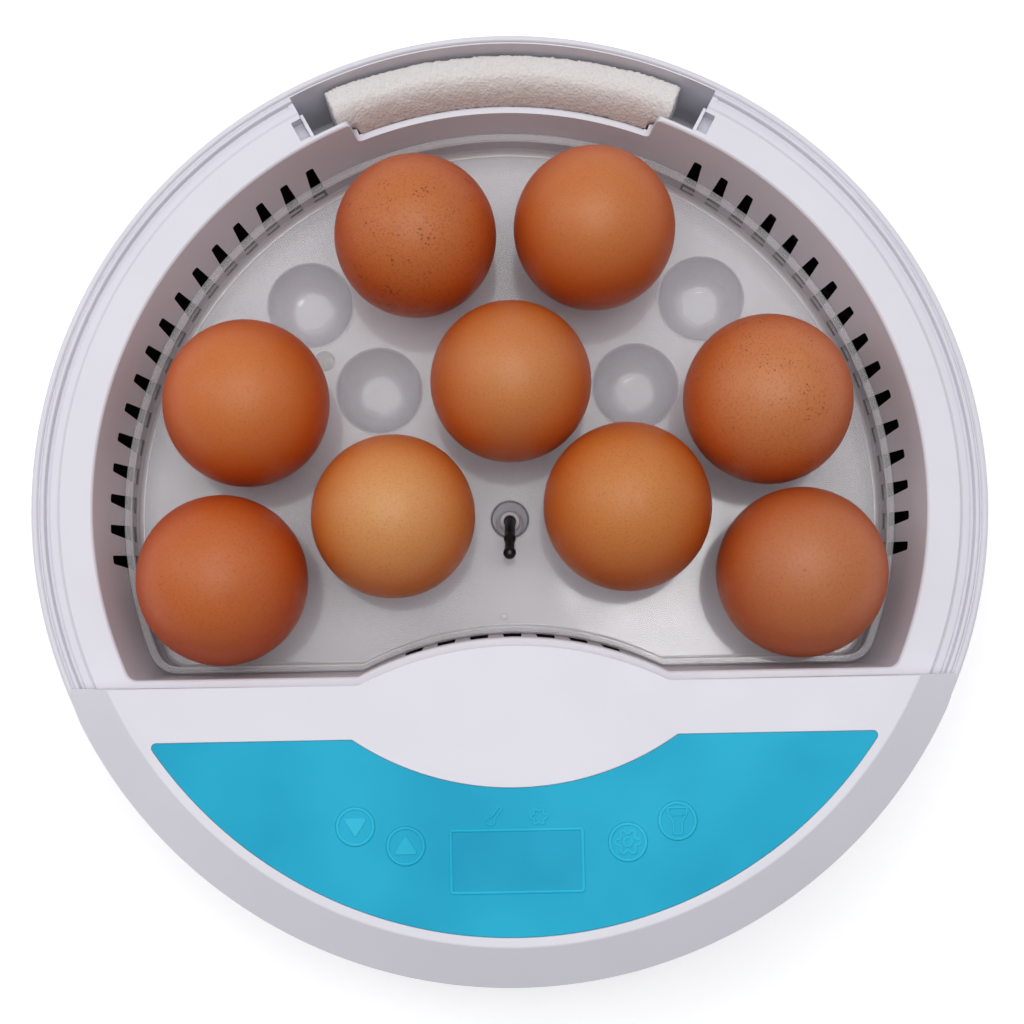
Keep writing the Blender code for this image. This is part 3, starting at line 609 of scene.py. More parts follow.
def chamber_mesh():
    """The hollow of the tub, with a fillet at the floor and a rounded upper edge."""
    sections = []
    for sine, lift in quarter(4, 0, 88):
        z = FLOOR_Z + FLOOR_FILLET * lift
        sections.append((z, tub_outline(z, -FLOOR_FILLET * (1 - sine))))
    for sine, out in quarter(4, 0, 74):
        z = RIM_Z - EDGE_R * (1 - sine)
        sections.append((z, tub_outline(z, EDGE_R * out)))
    last = EDGE_R * quarter(1, 0, 74)[1][1] + 0.9
    sections.append((RIM_Z + 1.0, tub_outline(RIM_Z + 1.0, last)))
    return loft(sections)


def rim_profile():
    """The plate with the lid's seat: ledge, step, groove, bead and lip, and the skirt."""
    low = RIM_Z - PLATE_T
    inside = BODY_R - SKIRT_T
    # (radius, height above the rim)
    top = [
        (0.0, 0.0), (117.1, 0.0), (117.45, -0.1), (117.75, -0.45), (118.1, -0.75),
        (118.5, -0.85), (119.8, -0.85), (120.15, -1.05), (120.35, -1.9), (121.1, -1.9),
        (121.35, -0.7), (121.6, -0.3), (121.95, -0.18), (122.4, -0.28), (122.62, -0.6),
        (122.85, -1.0), (123.1, -0.95), (123.25, -0.5), (123.6, -0.22), (124.1, -0.2),
        (124.5, -0.36), (124.8, -0.7), (124.95, -1.15), (BODY_R, -1.7),
    ]
    upper = [(r, RIM_Z + drop) for r, drop in top]
    skirt = [(BODY_R, SKIRT_BOTTOM + 0.3), (BODY_R - 0.3, SKIRT_BOTTOM), (inside, SKIRT_BOTTOM)]
    return [*upper, *skirt, (inside, low), (0.0, low)]


def pocket_outline(z, grow=0.0, end=0.0):
    return sector(POCKET_IN - grow, pocket_r(z) + grow, POCKET_HALF + end)


def pocket_mesh():
    """The hollow of the sponge pocket, with a fillet at its floor."""
    sections = []
    for sine, lift in quarter(3, 0, 88):
        z = POCKET_FLOOR + lift
        sections.append((z, pocket_outline(z, -(1 - sine), -0.5 * (1 - sine))))
    for sine, out in quarter(3, 0, 74):
        z = RIM_Z - 0.4 * (1 - sine)
        sections.append((z, pocket_outline(z, 0.4 * out, 0.2 * out)))
    sections.append((RIM_Z + 1.0, pocket_outline(RIM_Z, 0.5, 0.25)))
    return loft(sections)


def low_wall_mesh():
    """What is missing above the low wall between the pocket and the chamber, edges rounded."""
    half = LOW_WALL_HALF - 0.85
    edge = ((0.5, 108.6), (0.2, 108.3), (0.05, 108.0))
    sections = [(LOW_WALL_Z - drop, half - 0.2, inner) for drop, inner in edge]
    step = 1.6
    for sine, lift in quarter(4, 8, 90):
        half = LOW_WALL_HALF - 0.85 * (1 - sine)
        sections.append((LOW_WALL_Z + step * lift, half, 103.0))
    for sine, out in quarter(4, 0, 80):
        sections.append((RIM_Z - step * (1 - sine), LOW_WALL_HALF + 0.4 + 0.9 * out, 103.0))
    sections.append((RIM_Z + 1.0, LOW_WALL_HALF + 1.6, 103.0))
    return loft([(z, sector(inner, 111.4, half)) for z, half, inner in sections])


def slot_mesh(width, taper, high, near):
    """An upright air slot, narrower and rounded at its top, that cuts along -Y from near."""
    half = width / 2
    top = half * taper
    crown = 0.7
    face = [(-half, SLOT_BOTTOM), (half, SLOT_BOTTOM)]
    face += [(top - crown * out, high - crown * (1 - sine)) for sine, out in quarter(4)]
    face += [(-x, z) for x, z in face[:1:-1]]
    bm = bmesh.new()
    back = [bm.verts.new((x * MM, near * MM, z * MM)) for x, z in face]
    front = [bm.verts.new((x * MM, (near - SLOT_REACH) * MM, z * MM)) for x, z in face]
    for i in range(len(face)):
        j = (i + 1) % len(face)
        bm.faces.new((back[i], back[j], front[j], front[i]))
    bm.faces.new(back)
    bm.faces.new(front[::-1])
    return mesh_from("slot", bm)


def slots_mesh():
    """Slots all round the chamber's wall, and a row through the front bulge."""
    made = []
    for side in (1, -1):
        for k in range(SLOTS_PER_SIDE):
            slot = slot_mesh(SLOT_W, 0.52, SLOT_TOP, SLOT_OUT_R)
            slot.transform(Matrix.Rotation(math.radians(-side * (SLOT_FIRST + SLOT_PITCH * k)), 4, "Z"))
            made.append(slot)
    centre_y = CHAMBER_FRONT + BULGE_RISE - BULGE_R
    for k in range(FRONT_SLOTS):
        slot = slot_mesh(FRONT_SLOT_W, 0.9, FRONT_SLOT_TOP, BULGE_R + 6.0)
        turn = -FRONT_SLOT_PITCH * (k - (FRONT_SLOTS - 1) / 2) / BULGE_R
        slot.transform(Matrix.Translation((0.0, centre_y * MM, 0.0)) @ Matrix.Rotation(turn, 4, "Z"))
        made.append(slot)
    return gathered(made)


def side_reliefs():
    """What thins the round wall from behind, where the slots pass through it."""
    first, last = math.radians(SLOT_FIRST - 0.9), math.radians(SLOT_LAST + 1.6)
    angles = [first + (last - first) * k / 40 for k in range(41)]
    made = []
    for side in (1, -1):
        sections = []
        for z in (SLOT_BOTTOM - 1.0, SLOT_TOP + 1.0):
            near, far = (
                [(side * r * math.sin(a), r * math.cos(a)) for a in angles]
                for r in (wall_r(z) + SIDE_SKIN, wall_r(z) + RELIEF_DEPTH)
            )
            sections.append((z, near + far[::-1]))
        made.append(loft(sections))
    return gathered(made)


def bulge_relief():
    """What thins the bulge's wall from behind, where the front slots pass through it."""
    sections = []
    for z in (SLOT_BOTTOM - 1.0, FRONT_SLOT_TOP + 1.5):
        edge = bulge(BULGE_HALF, front_y(z), BULGE_RISE)
        line = [(x, y) for x, y in edge if abs(x) < FRONT_ROW_HALF]
        near, far = shifted(line, 0, -FRONT_SKIN), shifted(line, 0, -RELIEF_DEPTH)
        sections.append((z, near + far[::-1]))
    return loft(sections)


def pocket_details():
    """Steps for the sponge's niche, and the ribs, latch notches and drain slits at the ends."""
    niche = sector(LOW_WALL_R, POCKET_IN + 1.0, LOW_WALL_HALF - 0.6)
    steps = [cut(loft([(POCKET_FLOOR + 0.3, niche), (LOW_WALL_Z + 1.0, niche)]))]
    for side in (1, -1):
        turn = 90 - side * (POCKET_HALF - 1.9)
        low, high = (POCKET_IN - 0.4, -0.55, POCKET_FLOOR - 0.5), (POCKET_IN + 1.2, 0.55, RIM_Z - 6.0)
        steps.append(add(block(low, high, turn, 0.25)))
        turn = 90 - side * NOTCH_TURN
        steps.append(add(block((109.6, -2.4, RIM_Z - 9.0), (117.2, 2.4, RIM_Z - 1.2), turn)))
        steps.append(cut(block((110.6, -1.5, RIM_Z - 5.0), (116.2, 1.5, RIM_Z + 1.0), turn, 0.3)))
        middle = 90 - side * (POCKET_HALF + SPONGE_HALF) / 2
        low = (POCKET_IN - 0.1, -3.9, POCKET_FLOOR - 4.0)
        steps.append(cut(block(low, (POCKET_IN + 6.5, 3.9, POCKET_FLOOR + 0.6), middle)))
    return steps


def make_casing():
    """The rim, the chamber's tub and the sponge pocket, moulded in one piece."""
    plate = turned(rim_profile(), 288)
    tub = loft([(z, tub_outline(z, WALL_T)) for z in (FLOOR_Z - FLOOR_T, RIM_Z - 1.2)])
    around = []
    for z in (POCKET_FLOOR - 1.5, RIM_Z - 1.4):
        half = POCKET_HALF + POCKET_WALL / 2
        around.append((z, sector(POCKET_IN - 4 * POCKET_WALL, pocket_r(z) + POCKET_WALL, half)))
    mesh = combined(
        plate,
        add(tub),
        add(loft(around)),
        cut(pocket_mesh()),
        *pocket_details(),
        cut(chamber_mesh()),
        cut(low_wall_mesh()),
        cut(bulge_relief()),
        cut(side_reliefs()),
        cut(slots_mesh()),
        *(cut(plug(2.9, 13.0, 18.0, 32, spot_of(name))) for name in ("sensor_grommet", "candling_lamp")),
    )
    casing = piece("casing_shell", mesh, WHITE, ["upper_casing"])
    # Painted shade: near-black on the slots' sides, the faces just behind them and the inside of the outer
    # wall, for the dark inside the body.
    painted(casing, PAINTED_SHADE, lambda face: behind_slots(face.center / MM, face.normal))
    shaded(casing)


def painted(obj, look, chosen):
    """A further material on the faces that are chosen."""
    obj.data.materials.append(look)
    for face in obj.data.polygons:
        if chosen(face):
            face.material_index = len(obj.data.materials) - 1


def behind_slots(spot, normal):
    """Whether a face lies in the slots or in the unlit space just behind them."""
    if abs(spot.x) < FRONT_ROW_HALF + 0.5 and spot.y < 0:
        top = front_y(spot.z) + BULGE_RISE
        edge = top - BULGE_R + math.sqrt(BULGE_R**2 - spot.x**2)
        return SLOT_BOTTOM - 1.5 < spot.z < FRONT_SLOT_TOP + 2.0 and edge - 6.0 < spot.y < edge - 0.25
    inside = wall_r(spot.z)
    around = math.degrees(math.atan2(abs(spot.x), spot.y))
    far = math.hypot(spot.x, spot.y)
    beside = SLOT_FIRST - 2.0 < around < SLOT_LAST + 2.5
    inward = normal.x * spot.x + normal.y * spot.y < -0.3 * far
    if beside and inward and spot.z < RIM_Z - 6.0 and inside + 1.5 < far < 124.0:
        return True
    return beside and SLOT_BOTTOM - 1.5 < spot.z < SLOT_TOP + 1.5 and inside + 0.2 < far < inside + 7.0


# Lower shell and feet


def make_lower_shell():
    """The bowl below the seam, with its screw sinks and the socket's opening."""
    outer = []
    rise, reach = 30.0 - BASE_Z, SHELL_R - 0.5 - BASE_FLAT_R
    for sine, lift in quarter(18):
        outer.append((BASE_FLAT_R + reach * sine, BASE_Z + rise * lift))
    inner = []
    for r, z in outer:
        share = (z - BASE_Z) / rise
        inner.append((r - SHELL_T * (0.3 + 0.7 * share), z + 2.0 * (1 - share)))
    top = [(SHELL_R - SHELL_T, SHELL_TOP), (SHELL_R - 0.3, SHELL_TOP), (SHELL_R, SHELL_TOP - 0.3)]
    profile = [(0.0, BASE_Z + 2.0), *inner, *top, *outer[::-1], (0.0, BASE_Z)]
    steps = []
    for k in range(1, 5):
        at = spot_of(f"casing_screw_{k}")
        steps.append(add(plug(5.0, 3.0, 9.0, 48, at)))
        sink = [(0.0, 0.0), (4.1, 0.0), (4.1, BASE_Z), (3.7, BASE_Z + 0.4), (3.7, 5.6), (0.0, 5.6)]
        steps.append(cut(turned(sink, 48, at)))
        steps.append(cut(plug(1.75, 5.0, 10.0, 32, at)))
    socket = centre_of("power_inlet")
    turn = math.degrees(math.atan2(socket.y, socket.x))
    opening = block((114.0, -9.25, socket.z - 7.25), (129.0, 9.25, socket.z + 7.25), turn, 0.8)
    steps.append(cut(opening))
    mesh = combined(turned(profile, 256), *steps)
    shell = piece("lower_shell", mesh, WHITE, ["bottom_shell"])
    # Painted shade: near-black on the bowl's upward-facing inside faces, for the dark inside the closed
    # body.
    painted(shell, PAINTED_SHADE, lambda face: face.normal.z > 0.15 and face.center.z / MM < SHELL_TOP - 0.5)
    shaded(shell)


def make_feet():
    for k in range(1, 5):
        low, high = span(f"foot_{k}")
        radius = (high.x - low.x) / 2
        profile = [(0.0, high.z), (radius, high.z), (radius, 0.9)]
        profile += [(radius - 0.9 * out, 0.9 * (1 - sine)) for sine, out in quarter(5)][1:]
        profile += [(radius - 2.2, 0.0), (radius - 2.6, 0.35), (0.0, 0.35)]
        mesh = turned(profile[::-1], 64, spot_of(f"foot_{k}"))
        shaded(piece(f"rubber_foot_{k}", mesh, RUBBER, [f"foot_{k}"]))


def make_screws():
    """Pan-head screws with a cross recess."""
    for k in range(1, 5):
        low, high = span(f"casing_screw_{k}")
        at = spot_of(f"casing_screw_{k}")
        head_r, shank_r = (high.x - low.x) / 2, 1.4
        head = low.z + 1.6
        dome = [(head_r * math.cos(a), head - 1.6 * math.sin(a)) for a in (0.35, 0.7, 1.05, 1.35)]
        shank = [(0.0, high.z), (0.5, high.z), (shank_r, high.z - 1.2), (shank_r, head), (head_r, head)]
        mesh = turned([*shank, *dome, (0.0, low.z)][::-1], 48, at)
        steps = []
        for turn in (20.0 * k, 20.0 * k + 90):
            bar = block((-2.0, -0.4, low.z - 0.5), (2.0, 0.4, low.z + 0.9), turn)
            bar.transform(Matrix.Translation((at[0] * MM, at[1] * MM, 0.0)))
            steps.append(cut(bar))
        mesh = combined(mesh, *steps)
        shaded(piece(f"cross_screw_{k}", mesh, STEEL, [f"casing_screw_{k}"]))


def make_socket():
    """The low-voltage socket: a block with a raised collar, a round hole and its pin."""
    middle = centre_of("power_inlet")
    turn = math.atan2(middle.y, middle.x)
    body = block((110.0, -9.0, middle.z - 7.0), (122.2, 9.0, middle.z + 7.0), 0.0, 0.9)
    out = Matrix.Rotation(math.radians(90), 4, "Y")

    def along(profile, sides=48):
        mesh = turned(profile, sides)
        mesh.transform(Matrix.Translation((0.0, 0.0, middle.z * MM)) @ out)
        return mesh

    hole = along([(0.0, 113.5), (3.2, 113.5), (3.2, 121.8), (3.7, 122.4), (3.7, 123.5), (0.0, 123.5)])
    ring = along([(4.6, 121.9), (5.1, 121.9), (5.1, 123.5), (4.6, 123.5)])
    pin = along([(0.0, 113.0), (1.0, 113.0), (1.0, 119.8), (0.7, 120.3), (0.0, 120.3)])
    mesh = combined(body, cut(hole), cut(ring), add(pin))
    mesh.transform(Matrix.Rotation(turn, 4, "Z"))
    shaded(piece("power_socket", mesh, BLACK, ["power_inlet"]))


# Control housing


def housing_outline(z, radius):
    """The housing's outline at a height, its back edge rounded off near the top."""
    edge = 0.5
    up = max(0.0, z - (HOUSING_TOP - edge)) / edge
    inset = edge * (1 - math.sqrt(max(0.0, 1 - up**2)))
    return crescent(radius, HOUSING_BACK - inset, HOUSING_BULGE_HALF, BULGE_RISE)


def tucked(outline):
    """The lower edge drawn in at the back ends, where the lid's lip runs past it."""
    made = []
    for x, y in outline:
        r = math.hypot(x, y)
        near = max(0.0, 1 - (HOUSING_BACK - y) / 9.0) if y <= HOUSING_BACK + 0.1 else 0.0
        pull = 1.5 * near**2 if r > BODY_R - 1.0 else 0.0
        made.append((x * (1 - pull / r), y if pull == 0 else max(y * (1 - pull / r), y)))
    return made


def make_housing():
    """The raised front cover with sloping sides and soft edges."""
    slope = math.atan2(HOUSING_TOP - HOUSING_LOW, BODY_R - HOUSING_TOP_R)
    soft = 1.1
    reach = soft * math.tan(slope / 2)
    centre = (HOUSING_TOP_R - reach, HOUSING_TOP - soft)
    low_outline = tucked(housing_outline(HOUSING_LOW, BODY_R))
    sections = [(HOUSING_LOW, low_outline)]
    steps = 6
    for k in range(steps + 1):
        a = slope * (1 - k / steps)
        z = centre[1] + soft * math.cos(a)
        sections.append((z, housing_outline(z, centre[0] + soft * math.sin(a))))
    back = HOUSING_BACK - HOUSING_T
    run = (BODY_R - HOUSING_TOP_R) / (HOUSING_TOP - HOUSING_LOW)
    hollow_top = HOUSING_TOP_R + run * HOUSING_T - 2.6
    hollow = loft(
        [
            (HOUSING_LOW - 1.0, crescent(BODY_R + run - 2.6, back, HOUSING_BULGE_HALF, BULGE_RISE)),
            (HOUSING_TOP - HOUSING_T, crescent(hollow_top, back, HOUSING_BULGE_HALF, BULGE_RISE)),
        ]
    )
    clear = 0.07
    steps = [cut(hollow)]
    recess = []
    for z, grow in ((HOUSING_TOP - FILM_RECESS, 0.0), (HOUSING_TOP - 0.2, 0.0), (HOUSING_TOP + 0.3, 0.3)):
        recess.append((z, film_outline(clear + grow)))
    steps.append(cut(loft(recess)))
    for name in KEY_NAMES:
        steps.append(cut(plug(5.3, 68.0, 72.0, 48, spot_of(f"key_{name}"))))
    window = centre_of("display_window")
    opening = block((window.x - 15.5, window.y - 6.9, 68.0), (window.x + 15.5, window.y + 6.9, 72.0))
    steps.append(cut(opening))
    mesh = combined(loft(sections), *steps)
    shaded(piece("housing_cover", mesh, WHITE, ["control_housing"]), 25.0)


def film_outline(grow=0.0):
    half = FILM_BULGE_HALF - 0.4 * grow
    return crescent(FILM_R + grow, FILM_BACK + grow, half, FILM_BULGE_RISE, FILM_CORNER + grow)


def make_film():
    """The blue overlay with holes for the keys' discs."""
    low, soft = FILM_TOP - FILM_T, 0.15
    sections = [(low, film_outline()), (FILM_TOP - soft, film_outline())]
    for sine, out in quarter(3)[1:]:
        sections.append((FILM_TOP - soft * (1 - sine), film_outline(-soft * out)))
    edge = KEY_R + 0.05
    hole = [(0.0, low - 1), (edge, low - 1), (edge, FILM_TOP - 0.08), (edge + 0.06, FILM_TOP + 1)]
    hole.append((0.0, FILM_TOP + 1))
    steps = [cut(turned(hole, 96, spot_of(f"key_{name}"))) for name in KEY_NAMES]
    mesh = combined(loft(sections), *steps)
    shaded(piece("overlay_film", mesh, BLUE, ["panel_overlay", "display_window"]))


def line_mesh(name, points, width, rings, closed=False, widths=None):
    """A round bar along (x, y, z) points, thicker or thinner where widths say so."""
    curve = bpy.data.curves.new(name, "CURVE")
    curve.dimensions = "3D"
    curve.bevel_depth = width / 2 * MM
    curve.bevel_resolution = rings
    curve.use_fill_caps = True
    spline = curve.splines.new("POLY")
    spline.use_cyclic_u = closed
    spline.points.add(len(points) - 1)
    for k, (point, at) in enumerate(zip(spline.points, points)):
        point.co = (*(c * MM for c in at), 1.0)
        point.radius = widths[k] if widths else 1.0
    return taken(helper(name, curve))


def ridge(name, path, width=RIDGE_W, body="base", closed=True):
    """A half-round embossed line along a path of (x, y) points on the film, in a lighter blue: painted
    light.
    """
    bm = opened(line_mesh(name, [(x, y, 0.0) for x, y in path], width, 4, closed))
    bmesh.ops.remove_doubles(bm, verts=bm.verts, dist=1e-6)
    bmesh.ops.scale(bm, vec=(1.0, 1.0, 2 * RIDGE_H / width), verts=bm.verts)
    bmesh.ops.translate(bm, vec=(0.0, 0.0, FILM_TOP * MM), verts=bm.verts)
    piece(name, mesh_from(name, bm), BLUE_RIDGE_PAINTED_LIGHT, body=body).data.shade_smooth()


def raised(name, outline, body):
    """A flat embossed shape with soft edges, in a lighter blue: painted light."""
    height, soft = 0.22, 0.4
    middle = Vector((sum(x for x, _ in outline), sum(y for _, y in outline))) / len(outline)
    sections = []
    reach = max((Vector(p) - middle).length for p in outline)
    for sine, out in quarter(4):
        scale = 1 - soft * out / reach
        ring = [tuple(middle + (Vector(p) - middle) * scale) for p in outline]
        sections.append((FILM_TOP - 0.1 + (height + 0.1) * sine, ring))
    shaded(piece(name, loft(sections), BLUE_RIDGE_PAINTED_LIGHT, body=body), 60.0)


def polygon(points, corner):
    return rounded(points, range(len(points)), corner, 5)


def shifted(points, x, y):
    return [(a + x, b + y) for a, b in points]


def lobed(lobes, radius, depth, steps=96):
    """A round outline with lobes, as a gear icon."""
    made = []
    for k in range(steps):
        a = 2 * math.pi * k / steps
        wave = math.tanh(2.2 * math.cos(lobes * a)) / math.tanh(2.2)
        r = radius + depth * wave
        made.append((r * math.cos(a), r * math.sin(a)))
    return made


def circle(radius, steps=72):
    return arc(radius, 0, 360 * (steps - 1) / steps, steps - 1)


def make_keys():
    """Each key's disc with its embossed ring and symbol."""
    triangle = polygon([(-3.25, -2.2), (3.25, -2.2), (0.0, 3.0)], 0.5)
    torch = [(-2.5, 3.3), (2.5, 3.3), (2.2, 1.4), (1.1, -0.2)]
    torch += [(1.1, -3.3), (-1.1, -3.3), (-1.1, -0.2), (-2.2, 1.4)]
    for name in KEY_NAMES:
        low, high = span(f"key_{name}")
        body = f"key_{name}"
        x, y = spot_of(body)
        soft = 0.06
        rim = [(KEY_R + 0.02 - soft * out, high.z - soft * (1 - sine)) for sine, out in quarter(3)]
        mesh = turned([(0.0, low.z), (KEY_R + 0.02, low.z), *rim, (0.0, high.z)], 96, (x, y))
        shaded(piece(f"key_disc_{name}", mesh, BLUE, [body], body))
        ridge(f"key_ring_{name}", shifted(circle(KEY_R - 0.46, 96), x, y), body=body)
        if name == "up":
            raised("key_mark_up", shifted(triangle, x, y), body)
        elif name == "down":
            raised("key_mark_down", shifted([(-a, -b) for a, b in triangle], x, y), body)
        elif name == "set":
            ridge("key_mark_gear", shifted(lobed(6, 2.65, 0.5), x, y), 0.7, body)
            ridge("key_mark_gear_hub", shifted(circle(1.1, 48), x, y), 0.6, body)
        else:
            ridge("key_mark_torch", shifted(polygon(torch, 0.3), x, y), 0.65, body)
            lens = shifted([(-2.2, 1.45), (2.2, 1.45)], x, y)
            ridge("key_mark_torch_lens", lens, 0.5, body, closed=False)


def make_window():
    """The embossed frame of the display, its slightly darker pane, and two icons above it."""
    low, high = span("display_window")
    x, y = spot_of("display_window")
    w, h = (high.x - low.x) / 2 - 0.3, (high.y - low.y) / 2 - 0.3
    corners = [(-w, -h), (w, -h), (w, h), (-w, h)]
    ridge("window_frame", shifted(polygon(corners, 0.6), x, y), 0.9)
    inner = [(a * (1 - 0.3 / w), b * (1 - 0.3 / h)) for a, b in corners]
    outline = shifted(polygon(inner, 0.4), x, y)
    pane = loft([(FILM_TOP - 0.2, outline), (FILM_TOP + 0.015, outline)])
    piece("window_pane", pane, BLUE_WINDOW)
    icon_y = y + h + 3.2
    lean = math.radians(-38)
    bulb = arc(1.05, 115, 425, 24, (0.0, -1.5))
    stem = arc(0.48, 0, 180, 8, (0.0, 2.2))
    cos, sin = math.cos(lean), math.sin(lean)
    thermometer = [(a * cos - b * sin, a * sin + b * cos) for a, b in [*bulb, *stem]]
    ridge("icon_thermometer", shifted(thermometer, x - 5.6, icon_y + 0.3), 0.6)
    ridge("icon_gear", shifted(lobed(6, 1.75, 0.28), x + 5.7, icon_y), 0.65)


# Tray and eggs


def cup_side(grow, steps=14):
    """A cup's side as (radius, z), from its rim down to the edge of its flat."""
    points = []
    for sine, out in quarter(steps):
        r = CUP_FLAT_R + (CUP_R - CUP_FLAT_R) * (1 - out) + grow
        points.append((r, TRAY_Z - CUP_DEPTH * sine - grow * sine))
    return points


def tray_outline(z, inset):
    radius = wall_r(z) - TRAY_CLEAR - inset
    front = front_y(z) + TRAY_CLEAR + inset
    return chamber_outline(radius, front, max(1.0, TRAY_CORNER - inset))


def make_tray():
    """A clear sheet with a turned-up edge, a cup for each egg and a hole for the probe."""
    bend = 1.6
    outer = []
    for sine, lift in quarter(4, 10, 90):
        z = TRAY_Z - TRAY_T + bend * lift
        outer.append((z, tray_outline(z, bend * (1 - sine))))
    for drop, inset in ((TRAY_RIM_R, 0.0), (0.0, TRAY_RIM_R)):
        outer.append((TRAY_TOP - drop, tray_outline(TRAY_TOP, inset)))
    inner = []
    for sine, lift in quarter(4, 10, 90):
        z = TRAY_Z + 1.2 * lift
        inner.append((z, tray_outline(z, TRAY_T + 1.2 * (1 - sine))))
    inner.append((TRAY_TOP - 1.5, tray_outline(TRAY_TOP - 1.5, TRAY_T)))
    for rise, inset in ((-1.2, TRAY_RIM_W), (-TRAY_RIM_R, TRAY_RIM_W), (0.5, 1.2)):
        inner.append((TRAY_TOP + rise, tray_outline(TRAY_TOP, inset)))
    spots = [spot_of(f"egg_{k}") for k in range(1, 10)] + list(EMPTY_CUPS)
    outsides, insides = [], []
    for spot in spots:
        skin = cup_side(CUP_WALL)[1:]
        profile = [(0.0, TRAY_Z - 0.4), (skin[0][0], TRAY_Z - 0.4), *skin[1:], (0.0, skin[-1][1])]
        outsides.append(turned(profile[::-1], 56, spot))
        lip = [(CUP_R + 0.5 * out + 0.02, TRAY_Z - 0.5 * (1 - sine)) for sine, out in quarter(3, 0, 76)]
        skin = [p for p in cup_side(0.0) if p[1] < TRAY_Z - 0.6]
        above = (lip[-1][0] + 0.2, TRAY_Z + 1.5)
        profile = [(0.0, above[1]), above, *lip[::-1], *skin, (CUP_FLAT_R - 0.25, skin[-1][1] - 0.12)]
        insides.append(turned([*profile, (0.0, skin[-1][1] - 0.12)][::-1], 56, spot))
    at = spot_of("sensor_grommet")
    collar = ((-0.6, -0.9), (0.7, -0.9), (0.6, 0.5), (0.25, 0.9), (-0.1, 0.6), (-0.6, 0.6))
    collar = [(PROBE_HOLE_R + out, TRAY_Z + up) for out, up in collar]
    nub = [(0.0, TRAY_Z + 0.9), (0.9, TRAY_Z + 0.5), (1.1, TRAY_Z - 0.4), (0.0, TRAY_Z - 0.4)]
    mesh = combined(
        loft(outer),
        cut(loft(inner)),
        add(gathered(outsides)),
        cut(gathered(insides)),
        add(turned(collar, 64, at)),
        cut(plug(PROBE_HOLE_R, TRAY_Z - 4, TRAY_Z + 4, 64, at)),
        add(turned(nub[::-1], 24, (-2.0, -28.3))),
    )
    tray = shaded(piece("clear_tray", mesh, CLEAR, ["egg_tray"], "tray"), 40.0)

    def on_edge(face):
        return face.center.z / MM > TRAY_Z - 0.75 and 0.3 < abs(face.normal.z) < 0.97

    def on_ring(face):
        off = (Vector(face.center[:2]) / MM - Vector(at)).length - PROBE_HOLE_R
        return -0.2 < off < 0.75 and abs(face.normal.z) < 0.9 and face.center.z / MM > TRAY_Z - 1.0

    # Painted highlight: the tray's sloping faces near its top, at rims and cup lips, get a whiter, more
    # opaque copy of the clear plastic.
    painted(tray, CLEAR_EDGE_PAINTED_HIGHLIGHT, on_edge)
    # Painted shade: the walls of the probe hole and its collar get a dark, more opaque copy of the clear
    # plastic, as a dark outline round the hole.
    painted(tray, CLEAR_RING_PAINTED_SHADE, on_ring)


# Each egg: its colour, how speckled it is, and how it leans in degrees
EGG_LOOKS = (
    ((0.500, 0.153, 0.040), 1.0, (2.0, -1.5)),
    ((0.527, 0.171, 0.045), 0.15, (-1.5, 1.0)),
    ((0.540, 0.198, 0.058), 0.1, (1.0, 2.0)),
    ((0.540, 0.160, 0.035), 0.1, (-2.0, 0.5)),
    ((0.520, 0.182, 0.061), 0.8, (1.5, -2.0)),
    ((0.494, 0.129, 0.028), 0.45, (-1.0, -1.0)),
    ((0.604, 0.275, 0.092), 0.2, (2.0, 1.5)),
    ((0.540, 0.198, 0.047), 0.3, (-2.0, -1.5)),
    ((0.468, 0.160, 0.059), 0.3, (0.5, 2.0)),
)
EGG_TAPER = 0.08


def make_eggs():
    """Smooth eggs standing on their pointed ends, each a little different."""
    for k, (tone, speckle, (forward, aside)) in enumerate(EGG_LOOKS, 1):
        low, high = span(f"egg_{k}")
        middle, length = (low + high) / 2, high.z - low.z
        half = (high.x - low.x) / 2 / (1 + EGG_TAPER**2 / 2)
        bm = bmesh.new()
        bmesh.ops.create_uvsphere(bm, u_segments=96, v_segments=64, radius=1.0)
        for vert in bm.verts:
            a = math.acos(max(-1.0, min(1.0, -vert.co.z)))
            around = Vector((vert.co.x, vert.co.y)).normalized() if math.sin(a) > 1e-6 else Vector((0, 0))
            r = half * math.sin(a) * (1 - EGG_TAPER * math.cos(a))
            r *= 1 + 0.004 * noise.noise(vert.co * 1.3 + Vector((k, 0, 0)))
            vert.co = Vector((around.x * r, around.y * r, -length / 2 * math.cos(a))) * 0.996
        turn = Matrix.Rotation(math.radians(forward), 3, "X") @ Matrix.Rotation(math.radians(aside), 3, "Y")
        bmesh.ops.rotate(bm, cent=(0, 0, -length / 3), matrix=turn, verts=bm.verts)
        bmesh.ops.scale(bm, vec=(MM, MM, MM), verts=bm.verts)
        bmesh.ops.translate(bm, vec=middle * MM, verts=bm.verts)
        look = egg_material(f"eggshell_{k}", tone, speckle, k, middle.z, length / 2)
        egg = piece(f"hens_egg_{k}", mesh_from("egg", bm), look, [f"egg_{k}"], f"egg_{k}")
        egg.data.shade_smooth()


# Sponge


def sponge_outline(far):
    """A bent block whose middle reaches the low wall, between the steps at its ends."""
    outer = arc(far, 90 - SPONGE_HALF, 90 + SPONGE_HALF, 40)
    half = LOW_WALL_HALF - 0.8
    inner = arc(LOW_WALL_R + 0.1, 90 + half, 90 - half, 40)
    shoulder = POCKET_IN + 0.4
    ends = [arc(shoulder, 90 + s * SPONGE_HALF, 90 + s * half, 2) for s in (1, -1)]
    return [*outer, *ends[0], *inner, *ends[1][::-1]]


